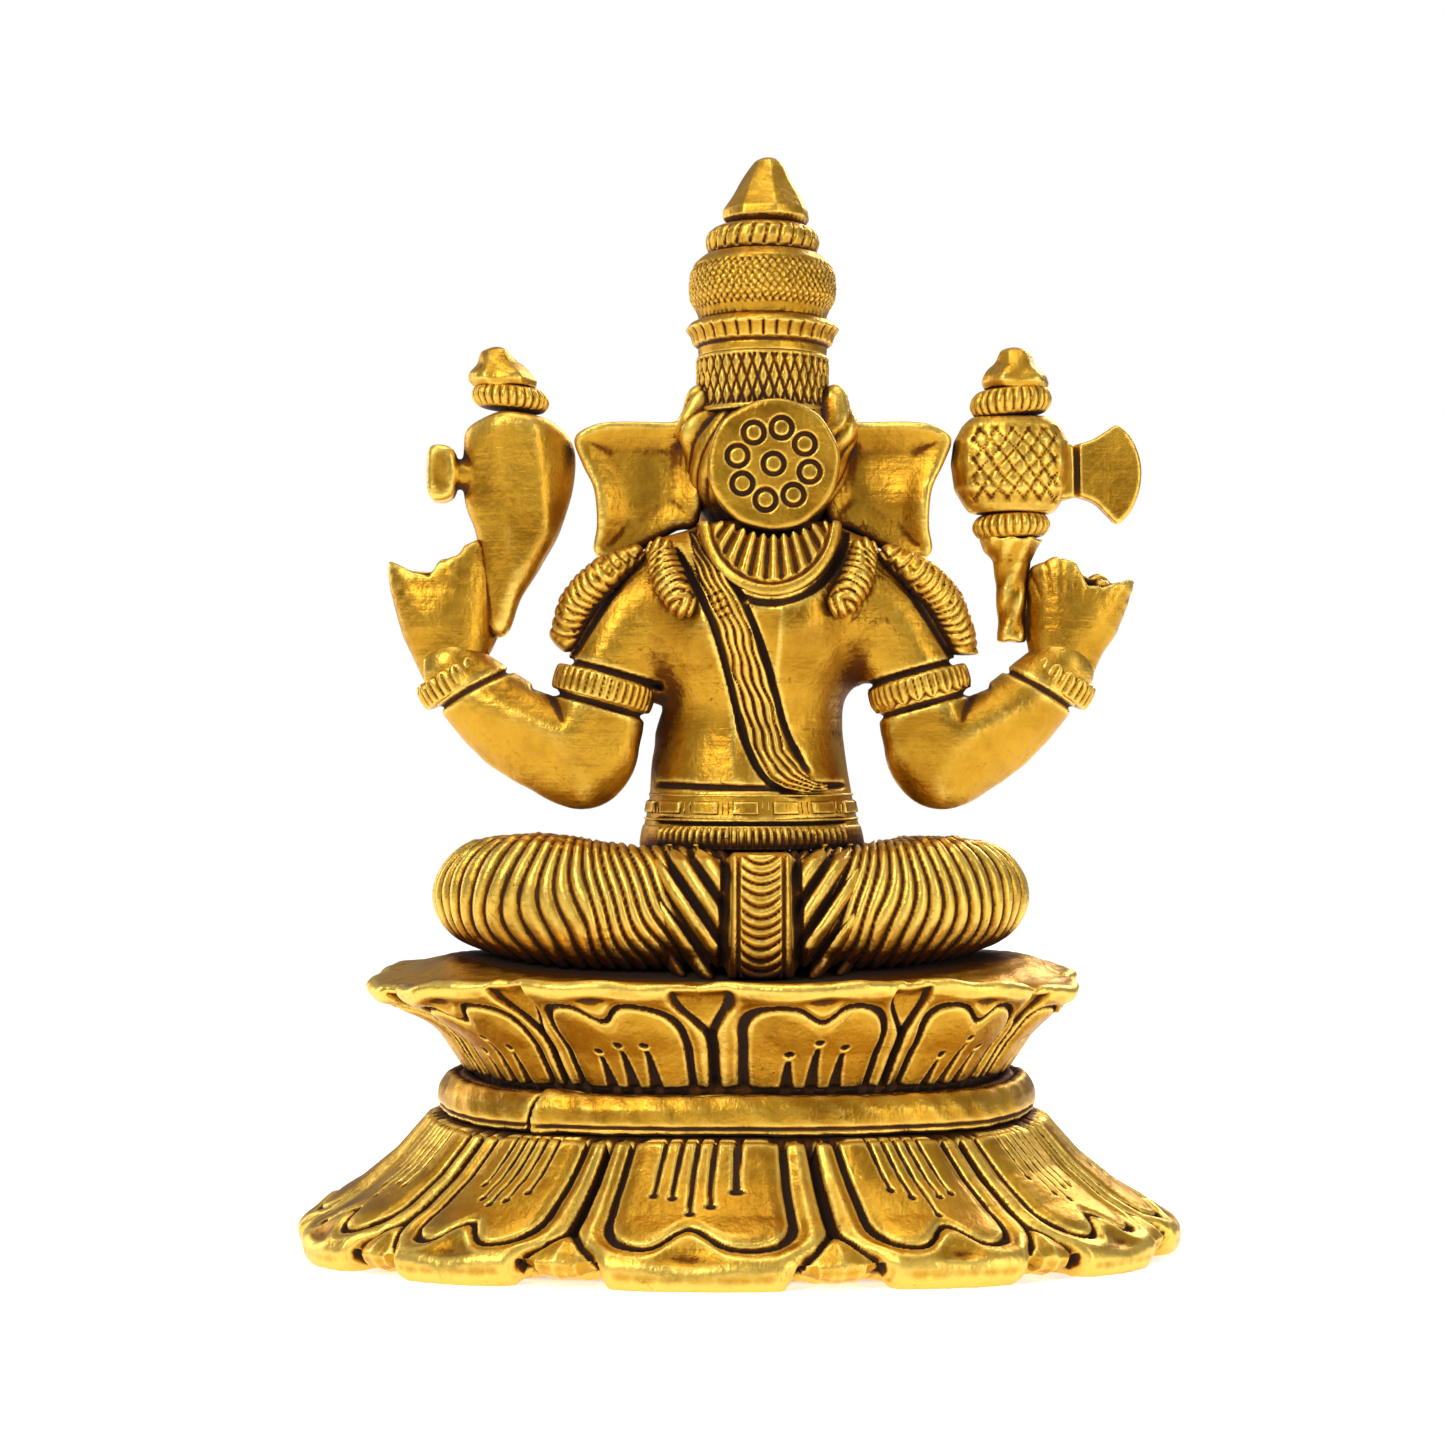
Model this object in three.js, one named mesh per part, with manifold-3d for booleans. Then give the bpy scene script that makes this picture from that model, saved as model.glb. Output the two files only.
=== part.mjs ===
// A cast brass statue of a seated, four-armed, elephant-headed deity on a double lotus pedestal.
// Millimetres, +Z up. The figure faces -Y and its own left is +X.
// The origin is the centre of the pedestal's underside.
import * as THREE from "three";
import { mergeVertices } from "three/addons/utils/BufferGeometryUtils.js";
import Module from "manifold-3d";

const wasm = await Module();
wasm.setup();

// ---------- Driving dimensions ----------
const HEIGHT = 150;
const BASE_HALF_WIDTH = 60;
const BASE_DEPTH_SHARE = 0.72; // depth of the pedestal as a share of its width
const OVAL_POWER = 2.3; // 2 is a plain ellipse, higher is squarer
const PETALS = 12; // in each tier of the pedestal
const LOWER_PETAL_ANGLE = -4.8; // of the petal nearest +Y, in degrees towards -X
const UPPER_PETAL_ANGLE = 12;

const LOWER_TOP = 18.8; // heights of the pedestal's stages
const BAND_TOP = 24.0;
const SEAT = 39.8;
const BAND_HALF_WIDTH = 40.7;
const RIM_HALF_WIDTH = 49.4;
const RIM_SHIFT = 1.8; // the upper rim stands this far to the left of the waist

const WALL = 3; // the pedestal is cast hollow, and open underneath
const SEAT_PLATE = 4;
const LEDGE_HALF_WIDTH = 28.5;

const JOINT = 0.3; // the solder gap between neighbouring pieces
const STUD_RADIUS = 2.5; // M5
const STUD_HOLE_RADIUS = 2.9;

const BODY_X = -3.6; // the figure sits a little to its right of the pedestal's centre
const HEAD_X = -4.2;
const HIP_X = 0.8;
const DISC_HEIGHT = 105.8;
const ATTRIBUTE_X = 34.1; // from BODY_X out to the noose and the axe

const COLLAR_TOP = 97.5;
const COLLAR_DROP = 11;
const COLLAR_HALF_WIDTH = 10.4;
const COLLAR_BACK = 15.4; // the y of its rear face

// ---------- Shared code ----------
const brass = (color, roughness) => new THREE.MeshStandardMaterial({ color, roughness, metalness: 1 });
const MATERIALS = {
  figure: brass(0xc8992e, 0.32),
  ornament: brass(0xb9862a, 0.38),
  pedestal: brass(0xc0902c, 0.35),
  fixing: brass(0x8d8f92, 0.4),
};

const statue = new THREE.Group();
const made = new Map(); // node name to geometry, in the statue's frame

const v3 = (p) => new THREE.Vector3(...p);
const lerp = THREE.MathUtils.lerp;
const radians = THREE.MathUtils.degToRad;

// A closed mesh as a solid. Only the positions count, with shared vertices merged.
function solid(geometry) {
  const bare = new THREE.BufferGeometry();
  bare.setAttribute("position", geometry.getAttribute("position").clone());
  const closed = mergeVertices(bare.setIndex(geometry.index), 1e-4);
  return new wasm.Manifold(
    new wasm.Mesh({
      numProp: 3,
      vertProperties: closed.attributes.position.array,
      triVerts: new Uint32Array(closed.index.array),
    }),
  );
}

// The largest body of a solid, as a geometry: a cut can leave a loose sliver beside it.
function meshed(manifold) {
  const bodies = manifold.decompose().sort((a, b) => b.volume() - a.volume());
  const { numProp, numVert, vertProperties, triVerts } = bodies[0].getMesh();
  const positions = new Float32Array(numVert * 3);
  for (let i = 0; i < numVert; i++) {
    positions.set(vertProperties.subarray(i * numProp, i * numProp + 3), i * 3);
  }
  const geometry = new THREE.BufferGeometry();
  geometry.setAttribute("position", new THREE.BufferAttribute(positions, 3));
  return geometry.setIndex(new THREE.BufferAttribute(triVerts, 1));
}

const joined = (...parts) => meshed(parts.map(solid).reduce((a, b) => a.add(b)));

const cut = (geometry, ...cutters) =>
  meshed(cutters.map(solid).reduce((a, b) => a.subtract(b), solid(geometry)));

// A solid moved outwards all over, for cutting a neighbour clear of it. The mesh of a solid is indexed
// already, and its vertices are moved along their normals.
function grown(geometry, distance) {
  const swollen = geometry.clone();
  swollen.computeVertexNormals();
  const { position, normal } = swollen.attributes;
  for (let i = 0; i < position.count; i++) {
    position.setXYZ(
      i,
      position.getX(i) + normal.getX(i) * distance,
      position.getY(i) + normal.getY(i) * distance,
      position.getZ(i) + normal.getZ(i) * distance,
    );
  }
  const mesh = { numProp: 3, vertProperties: position.array, triVerts: swollen.index.array };
  return new wasm.Manifold(new wasm.Mesh(mesh));
}

// Moves every vertex of a geometry to where move(x, y, z) says.
function warped(geometry, move) {
  const { position } = geometry.attributes;
  for (let i = 0; i < position.count; i++) {
    position.setXYZ(i, ...move(position.getX(i), position.getY(i), position.getZ(i)));
  }
  return geometry;
}

// Revolves [radius, height] points about Z.
function turned(profile, segments = 16) {
  const points = profile.map(([r, z]) => new THREE.Vector2(r, z));
  return new THREE.LatheGeometry(points, segments).rotateX(Math.PI / 2);
}

const moved = (geometry, x, y, z) => geometry.translate(x, y, z);

const ball = (x, y, z, rx, ry, rz) =>
  moved(new THREE.SphereGeometry(1, 12, 8).rotateX(Math.PI / 2).scale(rx, ry, rz), x, y, z);

const block = (x0, x1, y0, y1, z0, z1) =>
  moved(
    new THREE.BoxGeometry(x1 - x0, y1 - y0, z1 - z0),
    (x0 + x1) / 2,
    (y0 + y1) / 2,
    (z0 + z1) / 2,
  );

// A limb along a smooth curve. sizes holds [half-width, half-depth] at each of the points, and the
// half-depth is measured along depthAxis.
function limb(points, sizes, { sides = 10, steps = 6, depthAxis = [0, 1, 0] } = {}) {
  const curve = new THREE.CatmullRomCurve3(points.map(v3));
  const END_SHARE = 0.62; // the first and last rings are smaller, which rounds the ends
  const profile = [new THREE.Vector2(0, 0), new THREE.Vector2(END_SHARE, 0)];
  for (let i = 1; i < steps; i++) profile.push(new THREE.Vector2(1, i / steps));
  profile.push(new THREE.Vector2(END_SHARE, 1), new THREE.Vector2(0, 1));
  const geometry = new THREE.LatheGeometry(profile, sides);
  return warped(geometry, (across, t, deep) => {
    const tangent = curve.getTangent(t);
    const depth = v3(depthAxis).addScaledVector(tangent, -tangent.dot(v3(depthAxis))).normalize();
    const width = depth.clone().cross(tangent);
    const at = t * (sizes.length - 1);
    const low = Math.min(Math.floor(at), sizes.length - 2);
    const [halfWidth, halfDepth] = sizes[low].map((s, k) => lerp(s, sizes[low + 1][k], at - low));
    const p = curve.getPoint(t);
    p.addScaledVector(width, across * halfWidth).addScaledVector(depth, -deep * halfDepth);
    return p.toArray();
  });
}

// A plate standing in the XZ plane with a rounded edge. outline holds [x, z] points, joined by a smooth
// closed curve, and the plate is centred on y.
function plate(outline, y, thickness, { bevel = 0.8, smooth = 24 } = {}) {
  const curve = new THREE.CatmullRomCurve3(outline.map(([x, z]) => new THREE.Vector3(x, z, 0)), true);
  const points = curve.getSpacedPoints(smooth).slice(0, -1);
  const shape = new THREE.Shape(points.map((p) => new THREE.Vector2(p.x, p.y)));
  const geometry = new THREE.ExtrudeGeometry(shape, {
    depth: thickness - 2 * bevel,
    bevelThickness: bevel,
    bevelSize: bevel,
    bevelOffset: -bevel,
    bevelSegments: 1,
  });
  return geometry.translate(0, 0, bevel - thickness / 2).rotateX(Math.PI / 2).translate(0, y, 0);
}

// Turns a geometry made on the Z axis so that it stands on direction, with its origin at a point.
function aimed(geometry, at, direction) {
  const up = new THREE.Vector3(0, 0, 1);
  const turn = new THREE.Quaternion().setFromUnitVectors(up, v3(direction).normalize());
  return geometry.applyQuaternion(turn).translate(...at);
}

const mirrored = (side, offset) => BODY_X + side * offset;

// Whether two boxes come within the solder gap of each other.
const near = (a, b) =>
  [0, 1, 2].every((k) => a.min[k] < b.max[k] + 2 * JOINT && b.min[k] < a.max[k] + 2 * JOINT);

// Adds a node, cut clear of every earlier node that it touches.
function add(name, material, geometry) {
  let shape = solid(geometry);
  for (const neighbour of made.values()) {
    if (near(shape.boundingBox(), neighbour.box)) shape = shape.subtract(neighbour.grown);
  }
  const fitted = meshed(shape);
  made.set(name, { box: solid(fitted).boundingBox(), geometry: fitted, grown: grown(fitted, JOINT) });
  const mesh = new THREE.Mesh(fitted, MATERIALS[material]);
  mesh.name = name;
  statue.add(mesh);
}

// ---------- Pedestal ----------
// Carries a turned solid from a circle to the pedestal's oval, with its edge scalloped into petals.
function oval(geometry, petalAngle, scallop, shift = 0) {
  return warped(geometry, (x, y, z) => {
    const radius = Math.hypot(x, y);
    const angle = Math.atan2(y, x);
    const petal = Math.abs(Math.cos((PETALS / 2) * (angle - Math.PI / 2 - radians(petalAngle))));
    const reach = radius * (1 + scallop(radius, z) * (Math.min(1, 1.9 * petal) - 1));
    const power = 2 / OVAL_POWER;
    const bend = (c) => Math.sign(c) * Math.abs(c) ** power;
    const round = THREE.MathUtils.smoothstep(radius, STUD_HOLE_RADIUS, 20); // the stud's hole stays a circle
    const slide = shift * THREE.MathUtils.smoothstep(radius, BAND_HALF_WIDTH, RIM_HALF_WIDTH);
    return [
      slide + reach * lerp(Math.cos(angle), bend(Math.cos(angle)), round),
      reach * lerp(Math.sin(angle), bend(Math.sin(angle)) * BASE_DEPTH_SHARE, round),
      z,
    ];
  });
}

function pedestal() {
  const segments = 5 * PETALS;
  const hole = STUD_HOLE_RADIUS;
  const w = BASE_HALF_WIDTH;
  const ledge = LOWER_TOP - WALL; // the lower tier's top is a ledge that the upper tier stands on
  const petalEdge = (inner) => (radius) => 0.075 * THREE.MathUtils.smoothstep(radius, inner, inner + 8);
  const lower = turned(
    [
      [w - 10, 0],
      [w - 2.6, 0],
      [w, 2],
      [w - 0.8, 4.2],
      [w - 6, 6.4],
      [w - 13, 12.4],
      [BAND_HALF_WIDTH + 0.8, LOWER_TOP],
      [LEDGE_HALF_WIDTH, LOWER_TOP],
      [LEDGE_HALF_WIDTH, ledge],
      [w - 24, ledge],
      [w - 17, 10.5],
      [w - 10, 0],
    ],
    segments,
  );
  add("lower_lotus", "pedestal", oval(lower, LOWER_PETAL_ANGLE, petalEdge(w - 9)));

  const spigot = BAND_HALF_WIDTH - 4.7;
  const rim = RIM_HALF_WIDTH;
  const upper = turned(
    [
      [spigot - WALL, LOWER_TOP + JOINT],
      [spigot, LOWER_TOP + JOINT],
      [spigot, BAND_TOP + JOINT],
      [spigot + 0.8, BAND_TOP + JOINT],
      [rim - 9, 30],
      [rim - 4.6, 34.2],
      [rim, 37],
      [rim - 0.8, 38.6],
      [rim - 5, SEAT],
      [hole, SEAT],
      [hole, SEAT - SEAT_PLATE],
      [spigot - WALL - 2, SEAT - SEAT_PLATE],
      [spigot - WALL, LOWER_TOP + JOINT],
    ],
    segments,
  );
  add("upper_lotus", "pedestal", oval(upper, UPPER_PETAL_ANGLE, petalEdge(rim - 8), RIM_SHIFT));

  const band = oval(
    turned(
      [
        [spigot + JOINT, LOWER_TOP + JOINT],
        [BAND_HALF_WIDTH - 0.6, LOWER_TOP + JOINT],
        [BAND_HALF_WIDTH, (LOWER_TOP + BAND_TOP) / 2],
        [BAND_HALF_WIDTH - 1.2, BAND_TOP],
        [spigot + JOINT, BAND_TOP],
        [spigot + JOINT, LOWER_TOP + JOINT],
      ],
      36,
    ),
    0,
    () => 0,
  );
  // The strip's two ends meet at its left rear, with a narrow gap between them.
  const split = block(-0.25, 0.25, -8, 8, LOWER_TOP - 1, BAND_TOP + 1).rotateZ(radians(-35));
  add("waist_band", "pedestal", cut(band, split.translate(32.4, 24.6, 0)));
}

// The stud that holds the figure down on the pedestal, with its washer and nut under the seat.
function fixings() {
  const bearing = SEAT - SEAT_PLATE - JOINT;
  const low = bearing - 8;
  const stud = turned([[0, low], [STUD_RADIUS, low], [STUD_RADIUS, 46.5], [0, 46.5]], 16);
  add("fixing_stud", "fixing", stud);
  const ring = (inner, outer, low, high, sides) =>
    turned([[inner, low], [outer, low], [outer, high], [inner, high], [inner, low]], sides);
  add("fixing_washer", "fixing", ring(STUD_HOLE_RADIUS, 7, bearing - 1.2, bearing, 16));
  add("fixing_nut", "fixing", ring(3.1, 4.6, bearing - 5.5, bearing - 1.5, 6));
}

// ---------- Legs ----------
function legs() {
  const floor = block(-80, 80, -60, 60, 0, SEAT + JOINT);
  const seat = turned([[0, SEAT], [15.2, SEAT], [17.4, 43.4], [17.6, 48], [16, 53], [14, 54], [0, 54]], 24);
  add("dhoti_seat", "figure", cut(moved(seat.scale(1, 0.9, 1), BODY_X + 0.6, 7.6, 0), floor));
  for (const [name, side] of [["left", 1], ["right", -1]]) {
    const x = (offset) => HIP_X + side * offset;
    const thigh = limb(
      [[x(9), 8, 47.2], [x(20), 8.5, 47.4], [x(29), 4, 47.8], [x(35.5), -3, 47.6]],
      [[7.2, 9], [7.6, 9.6], [7.9, 10], [6.6, 7.5]],
      { steps: 7 },
    );
    const shinHeight = side > 0 ? 45 : 46;
    const shin = limb(
      [[x(34), -6, 47.2], [x(26), -14.5, 46.4], [x(15), -20, shinHeight + 0.4], [x(4.5), -22.5, shinHeight]],
      [[6.6, 6.8], [6.2, 6.6], [5.2, 5.4], [4.2, 4.4]],
    );
    add(`${name}_leg`, "figure", cut(joined(thigh, shin), floor));
  }
  // The feet cross in front, the right one over the left.
  const foot = (side, z, y) =>
    limb(
      [[HIP_X + side * 3, y + 1, z], [HIP_X - side * 3, y - 0.6, z], [HIP_X - side * 11, y, z - 0.3]],
      [[2.6, 3], [3, 3.4], [2.2, 3.4]],
      { steps: 6 },
    );
  add("left_foot", "figure", cut(foot(1, 43.6, -28.4), floor));
  add("right_foot", "figure", foot(-1, 50.6, -25.5));
  const rearPleat = limb(
    [[-3.1, 22.2, 41.4], [-3.1, 23.6, 47], [-3.1, 22, 53.4]],
    [[4.2, 1.6], [4.2, 1.6], [4.2, 1.6]],
    { steps: 6, sides: 8 },
  );
  add("rear_pleat", "ornament", rearPleat);
}

// ---------- Torso ----------
// How far the figure's middle is from X = 0 at a height: it leans as it rises.
const lean = (z) => (z < 80 ? lerp(-2.2, -3, (z - 55) / 25) : lerp(-3, HEAD_X, (z - 80) / 20));

function torso() {
  const trunk = turned(
    [
      [0, 54.4], [14.6, 54.4], [14.3, 58], [12.6, 64], [12.1, 70], [12.9, 75], [15.6, 80], [17, 86],
      [14.5, 91], [9.5, 95.5], [6.5, 99], [0, 99],
    ],
    20,
  );
  warped(trunk, (x, y, z) => [x + lean(z), y * 0.84 + 1, z]);
  const belly = ball(lean(68), -8.5, 68.5, 13, 14.5, 13.4);
  add("torso", "figure", joined(trunk, belly));
  const belt = (low, high, stand) => {
    const middle = (low + high) / 2;
    const radius = 14.2 + stand - (middle - 56) * 0.14;
    const profile = [[0, low], [radius - 0.3, low], [radius, middle], [radius - 0.3, high], [0, high]];
    return warped(turned(profile, 28), (x, y, z) => [x + lean(z), y < 0 ? y * 1.32 : y * 0.84 + 1, z]);
  };
  add("hip_belt", "ornament", belt(54.4, 57.7, 1.7));
  add("waist_belt", "ornament", belt(58.1, 62, 1.6));

  const sash = limb(
    [
      [6.4, 6.8, 96.6],
      [3, 12.6, 90.6],
      [0.6, 14.2, 84.6],
      [-1.8, 12.6, 76],
      [-3.6, 12, 68],
      [-5.6, 12.6, 62.8],
    ],
    [[1.7, 1.5], [2, 1.7], [2.2, 1.7], [2.3, 1.7], [2.5, 1.7], [2.9, 1.7]],
    { sides: 8, steps: 14 },
  );
  add("sash", "ornament", sash);

  // A fluted collar hangs on the upper back, from under the disc: the lower half of an oval plate.
  const bib = new THREE.Shape();
  bib.absellipse(HEAD_X, COLLAR_TOP, COLLAR_HALF_WIDTH, COLLAR_DROP, Math.PI, 2 * Math.PI);
  const thickness = 7;
  const collar = new THREE.ExtrudeGeometry(bib, { depth: thickness, bevelEnabled: false, curveSegments: 9 });
  collar.rotateX(Math.PI / 2).translate(0, COLLAR_BACK, 0);
  warped(collar, (x, y, z) => [x, y - 0.02 * (x - HEAD_X) ** 2 - 0.16 * Math.max(0, z - 90), z]);
  add("rear_collar", "ornament", collar);

  const necklace = limb(
    [
      [HEAD_X - 10.5, -8, 93],
      [HEAD_X - 7, -13, 87],
      [HEAD_X, -16.4, 84],
      [HEAD_X + 7, -13, 87],
      [HEAD_X + 10.5, -8, 93],
    ],
    [[1.6, 1.6], [1.8, 1.7], [2.2, 1.8], [1.8, 1.7], [1.6, 1.6]],
    { sides: 8, steps: 12 },
  );
  add("front_necklace", "ornament", necklace);
}

// ---------- Head and crown ----------
function head() {
  const crownProfiles = {
    crown_band: [[0, 114], [9, 114], [9.5, 121.9], [0, 121.9]],
    crown_flange: [[0, 122.2], [8.6, 122.4], [8.9, 124], [10.2, 126.1], [9.6, 127], [0, 127]],
    crown_drum: [[0, 127.3], [8.8, 127.4], [10, 130.8], [9.8, 134.2], [8.8, 136], [0, 136]],
    crown_ring: [[0, 136.3], [7.3, 136.3], [7.9, 137.4], [7.8, 139], [7, 140], [0, 140]],
    crown_finial: [[0, 140.3], [4.9, 140.3], [5.6, 142], [1.2, HEIGHT - 0.7], [0.6, HEIGHT], [0, HEIGHT]],
  };
  for (const [name, profile] of Object.entries(crownProfiles)) {
    const x = name === "crown_finial" ? HEAD_X : HEAD_X + 0.6;
    const segments = name === "crown_finial" ? 8 : 24;
    add(name, "ornament", moved(turned(profile, segments), x, 0, 0));
  }
  const discProfile = [[0, 0], [8.4, 0], [8.9, 0.6], [8.9, 2.2], [8.2, 3], [0, 3]];
  const disc = aimed(turned(discProfile, 28), [HEAD_X - 0.7, 10.4, DISC_HEIGHT], [0, 1, 0]);
  add("rear_disc", "ornament", disc);

  const skull = joined(
    ball(HEAD_X, 0, 107.4, 12.6, 11.4, 11.8),
    ball(HEAD_X - 4.6, -6.4, 112, 6.6, 6.6, 6.2),
    ball(HEAD_X + 4.6, -6.4, 112, 6.6, 6.6, 6.2),
    ball(HEAD_X, -7.5, 103.4, 9.6, 8, 8),
  );
  add("head", "figure", skull);

  const trunk = limb(
    [
      [HEAD_X, -10.5, 107], [HEAD_X - 0.4, -17.4, 101.6], [HEAD_X - 0.8, -22, 94], [-4.2, -24.8, 86.4],
      [-1.4, -27.6, 79.6], [4.4, -29.6, 77], [9.4, -30.4, 80], [10.6, -30.6, 83.6],
    ],
    [[6.6, 6], [6, 5.4], [5, 4.7], [4.3, 4.1], [3.7, 3.5], [3.2, 3], [2.7, 2.6], [2.3, 2.2]],
    { steps: 16, depthAxis: [0, 0.8, 0.6] },
  );
  add("trunk", "figure", trunk);
  for (const [name, side, length] of [["left", 1, 1], ["right", -1, 0.55]]) {
    const x = (offset) => HEAD_X + side * offset;
    const tusk = limb(
      [
        [x(5.6), -12, 99.6],
        [x(6.8), -12 - 4.6 * length, 99.6 - 3 * length],
        [x(7.6), -12 - 8.6 * length, 99.6 - 4 * length],
      ],
      [[1.7, 1.7], [1.5, 1.5], [length < 1 ? 1.3 : 0.7, length < 1 ? 1.3 : 0.7]],
      { sides: 8, steps: 5, depthAxis: [1, 0, 0] },
    );
    add(`${name}_tusk`, "ornament", tusk);
    const earX = (offset) => HEAD_X + 0.6 + side * offset;
    const outline = [
      [9, 112],
      [16, 112],
      [21, 111.4],
      [25.4, 109.8],
      [24.2, 105],
      [22.6, 100],
      [22.6, 94.6],
      [16, 95.4],
      [9, 99],
    ];
    const ear = plate(outline.map(([o, z]) => [earX(o), z]), 2.6, 3.6, { smooth: 24 });
    add(`${name}_ear`, "figure", ear);
  }
}

// ---------- Rear arms, with the noose and the axe ----------
function rearArm(name, side) {
  const x = (offset) => mirrored(side, offset);
  const arm = limb(
    [
      [x(12.5), 4, 90],
      [x(17.8), 5, 84.6],
      [x(21.6), 5.6, 76],
      [x(23.8), 5.6, 66.8],
      [x(33), 4.6, 71],
      [x(41), 3, 78],
    ],
    [[6, 6.4], [6.2, 6.4], [6, 5.8], [7.4, 6], [6.4, 5.2], [5, 4.4]],
    { steps: 16 },
  );
  add(`${name}_rear_arm`, "figure", arm);

  const hoop = (radius, depth, height) => {
    const profile = [[0, -height], [radius - 0.4, -height], [radius, 0], [radius - 0.4, height], [0, height]];
    return turned(profile, 20).scale(1, depth / radius, 1);
  };
  add(`${name}_armlet`, "ornament", aimed(hoop(7.2, 7.2, 1.7), [x(21.5), 5.6, 76], [side * 0.28, 0, -1]));
  const wrist = [x(40.2), 3.2, 77.4];
  add(`${name}_bracelet`, "ornament", aimed(hoop(6.1, 5.6, 1.8), wrist, [side * 0.5, 0, 0.86]));

  const top = side > 0 ? 2 : 0;
  const palm = limb(
    [[x(41.4), 3.4, 80], [x(43), 2.8, 85], [x(43.4), 2.4, 91 + top]],
    [[5, 4], [6.8, 3.8], [6, 2.8]],
    { steps: 6 },
  );
  const fingers = [0, 1, 2, 3].map((i) =>
    limb(
      [
        [x(46.8 - 2.9 * i), 0.4, 91.4],
        [x(46.2 - 2.9 * i), -3.4, 90.6],
        [x(45.4 - 2.9 * i), -3.6, 86.4],
        [x(44.8 - 2.9 * i), -0.6, 84.6],
      ],
      [[1.5, 1.5], [1.5, 1.5], [1.5, 1.5], [1.4, 1.4]],
      { sides: 6, steps: 5, depthAxis: [1, 0, 0] },
    ),
  );
  add(`${name}_rear_hand`, "figure", joined(palm, ...fingers));

  const scarf = limb(
    [[x(18.8), 6.6, 95.2], [x(23.4), 7, 91.2], [x(27.2), 7.2, 85]],
    [[2, 3], [2.5, 3.2], [2.3, 2.8]],
    { sides: 10, steps: 8 },
  );
  add(`${name}_scarf`, "ornament", scarf);
  const tassel = limb(
    [[x(13.4), 10.2, 94.4], [x(11.6), 12, 90.6], [x(9.6), 13.4, 86.8]],
    [[1.7, 1.6], [1.9, 1.8], [1.7, 1.6]],
    { sides: 8, steps: 6 },
  );
  add(`${name}_tassel`, "ornament", tassel);
}

// A flattened stem of [half-width, height] rings, standing on an attribute's axis.
function stem(side, profile, depthShare, shift = 0) {
  const x = mirrored(side, ATTRIBUTE_X + shift);
  const closed = [[0, profile[0][1]], ...profile, [0, profile.at(-1)[1]]];
  return moved(turned(closed, 18).scale(1, depthShare, 1), x, 2.4, 0);
}

function noose() {
  const x = (offset) => mirrored(1, offset);
  const loop = stem(1, [[2.6, 85], [4.4, 92], [6.4, 98.6], [8.2, 105.6], [7.9, 111], [6, 114.2]], 0.62, 0.6);
  const knob = joined(
    ball(x(44.2), 2.4, 106.4, 2.1, 2.6, 3.9),
    limb([[x(39), 2.4, 106.4], [x(43.8), 2.4, 106.4]], [[1.6, 1.6], [1.6, 1.6]], { sides: 8, steps: 2 }),
  );
  add("noose", "figure", joined(loop, knob));
  const collar = [[4.6, 114.5], [5.3, 115.6], [5.2, 116.7], [4.3, 117.5]];
  add("noose_collar", "ornament", stem(1, collar, 0.8, 0.6));
  const finial = [[4.1, 117.8], [4.2, 118.9], [1, 122.8], [0.5, 123.3]];
  add("noose_finial", "ornament", stem(1, finial, 0.85, 1.4));
}

function axe() {
  add("axe_handle", "figure", stem(-1, [[1.6, 84], [3.2, 90.6], [4.5, 96.6]], 0.8));
  add("axe_lower_collar", "ornament", stem(-1, [[4.7, 96.9], [5.3, 97.8], [5.3, 99.2], [4.9, 100]], 0.8));
  const socket = [[5.6, 100.3], [7.6, 103.4], [8.1, 107.6], [7.4, 111.2], [5.6, 113.4]];
  add("axe_socket", "figure", stem(-1, socket, 0.62));
  const collar = [[4.9, 113.7], [5.6, 114.8], [5.5, 116.3], [4.4, 117.2]];
  add("axe_upper_collar", "ornament", stem(-1, collar, 0.8));
  const finial = [[4.2, 117.5], [4.3, 118.6], [1.3, 122.6], [0.6, 123.3]];
  add("axe_finial", "ornament", stem(-1, finial, 0.85, 0.6));
  const x = (offset) => mirrored(-1, offset);
  const blade = new THREE.Shape();
  blade.moveTo(x(39), 102.8);
  blade.lineTo(x(44.6), 102.8);
  blade.quadraticCurveTo(x(47.4), 102.2, x(49), 99.6);
  blade.quadraticCurveTo(x(54.4), 106.4, x(49), 112.8);
  blade.quadraticCurveTo(x(46), 110.8, x(43.4), 110.8);
  blade.lineTo(x(39), 110.6);
  const head = new THREE.ExtrudeGeometry(blade, { depth: 2.6, bevelEnabled: false, curveSegments: 8 });
  add("axe_blade", "figure", head.rotateX(Math.PI / 2).translate(0, 3.7, 0));
}

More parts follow.
